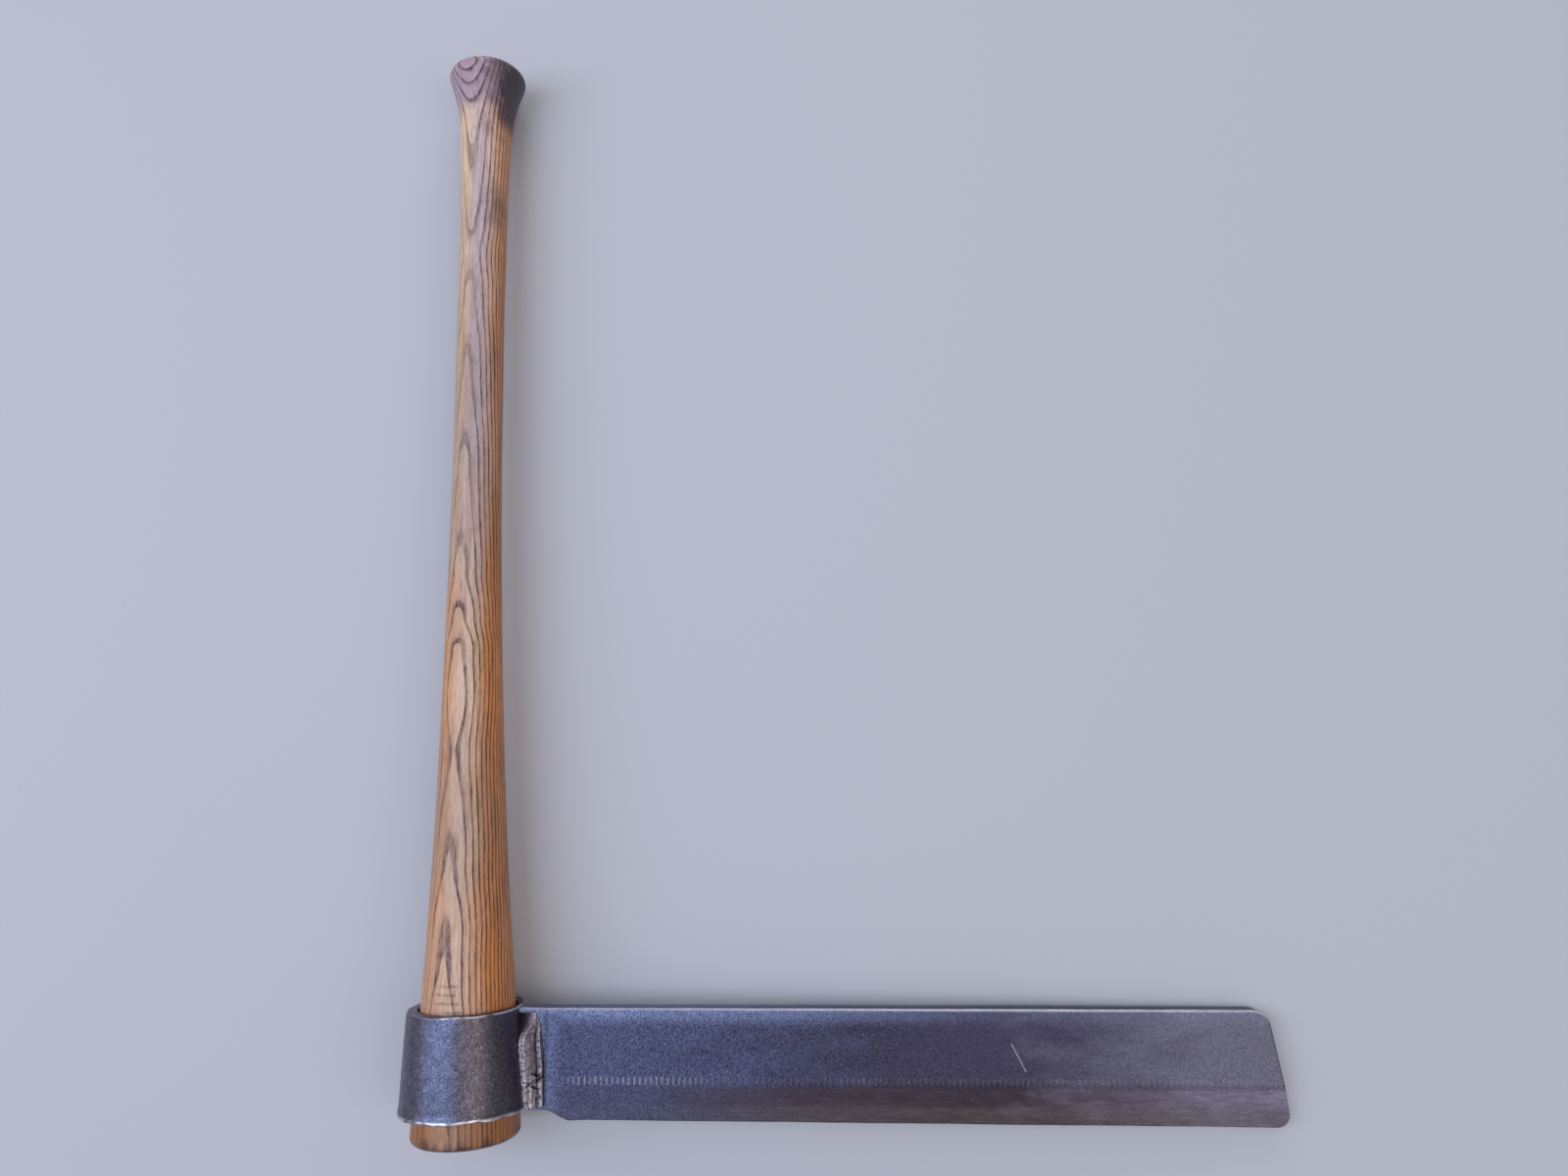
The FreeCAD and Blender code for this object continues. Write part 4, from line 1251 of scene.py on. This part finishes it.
class FROE_OT_stage(bpy.types.Operator):
    """Lay the floor and set the lamps and the camera"""

    bl_idname = "froe.stage"
    bl_label = "Floor, lamps and camera"

    def execute(self, context):
        scene = context.scene
        settings = scene.froe_stage
        half = FLOOR_HALF_WIDTH
        corners = [(-half, -half, 0), (half, -half, 0), (half, half, 0), (-half, half, 0)]
        mesh = bpy.data.meshes.new("floor")
        mesh.from_pydata(corners, [], [(0, 1, 2, 3)])
        floor = bpy.data.objects.new("floor", mesh)
        scene.collection.objects.link(floor)
        material, add = new_material("pale_matt_floor")
        shader = add("BsdfPrincipled", sockets={"Base Color": rgba(settings.floor), "Roughness": 0.9})
        add("OutputMaterial", shader)
        mesh.materials.append(material)

        world = bpy.data.worlds.new("soft_surroundings")
        world.use_nodes = True
        world.node_tree.nodes.clear()
        add = partial(add_node, world.node_tree)
        light = add(
            "Background", sockets={"Color": rgba(settings.sky), "Strength": settings.sky_strength},
        )
        add("OutputWorld", light)
        scene.world = world

        for name, direction, distance, width, depth, power, tint in LAMPS:
            lamp = bpy.data.lights.new(name, "AREA")
            lamp.shape = "RECTANGLE"
            lamp.size = width
            lamp.size_y = depth
            lamp.energy = power
            lamp.color = linear(tint)
            holder = bpy.data.objects.new(name, lamp)
            scene.collection.objects.link(holder)
            aim = Vector(direction).normalized()
            holder.location = aim * distance
            holder.rotation_euler = aim.to_track_quat("Z", "Y").to_euler()

        camera = bpy.data.cameras.new("camera")
        camera.sensor_width = SENSOR_MM
        camera.lens = FOCAL_PIXELS * SENSOR_MM / PHOTO_WIDTH_PIXELS
        camera.clip_start = 0.01
        holder = bpy.data.objects.new("camera", camera)
        scene.collection.objects.link(holder)
        turn = Euler([math.radians(angle) for angle in CAMERA_TURN_DEG]).to_matrix().to_4x4()
        holder.matrix_world = tool_place @ Matrix.Translation(Vector(CAMERA_PLACE_MM) * MM) @ turn
        scene.camera = holder
        scene.view_settings.view_transform = "Standard"
        return {"FINISHED"}


class FROE_PT_pieces(bpy.types.Panel):
    """List the pieces and their settings"""

    bl_label = "Froe"
    bl_idname = "FROE_PT_pieces"
    bl_space_type = "VIEW_3D"
    bl_region_type = "UI"
    bl_category = "Froe"

    def draw(self, context):
        for operator, group, _ in PIECES:
            box = self.layout.box()
            box.operator(operator.bl_idname)
            settings = getattr(context.scene, group)
            for name in settings.bl_rna.properties.keys():
                if name not in ("rna_type", "name"):
                    box.prop(settings, name)


# Each piece's operator, the scene's name for its settings, and their kind
PIECES = (
    (FROE_OT_handle, "froe_handle", FroeHandleSettings),
    (FROE_OT_eye, "froe_eye", FroeEyeSettings),
    (FROE_OT_blade, "froe_blade", FroeBladeSettings),
    (FROE_OT_welds, "froe_weld", FroeWeldSettings),
    (FROE_OT_stage, "froe_stage", FroeStageSettings),
)


def register():
    """Register the settings, the operators and the panel."""
    for operator, group, settings in PIECES:
        bpy.utils.register_class(settings)
        setattr(bpy.types.Scene, group, bpy.props.PointerProperty(type=settings))
        bpy.utils.register_class(operator)
    bpy.utils.register_class(FROE_PT_pieces)


def unregister():
    """Take away the panel, the operators and the settings."""
    bpy.utils.unregister_class(FROE_PT_pieces)
    for operator, group, settings in reversed(PIECES):
        bpy.utils.unregister_class(operator)
        delattr(bpy.types.Scene, group)
        bpy.utils.unregister_class(settings)


def main():
    """Build every piece."""
    register()
    bpy.ops.froe.handle()
    bpy.ops.froe.eye()
    bpy.ops.froe.blade()
    bpy.ops.froe.welds()
    bpy.ops.froe.stage()
    bpy.context.view_layer.update()


if __name__ == "__main__":
    main()
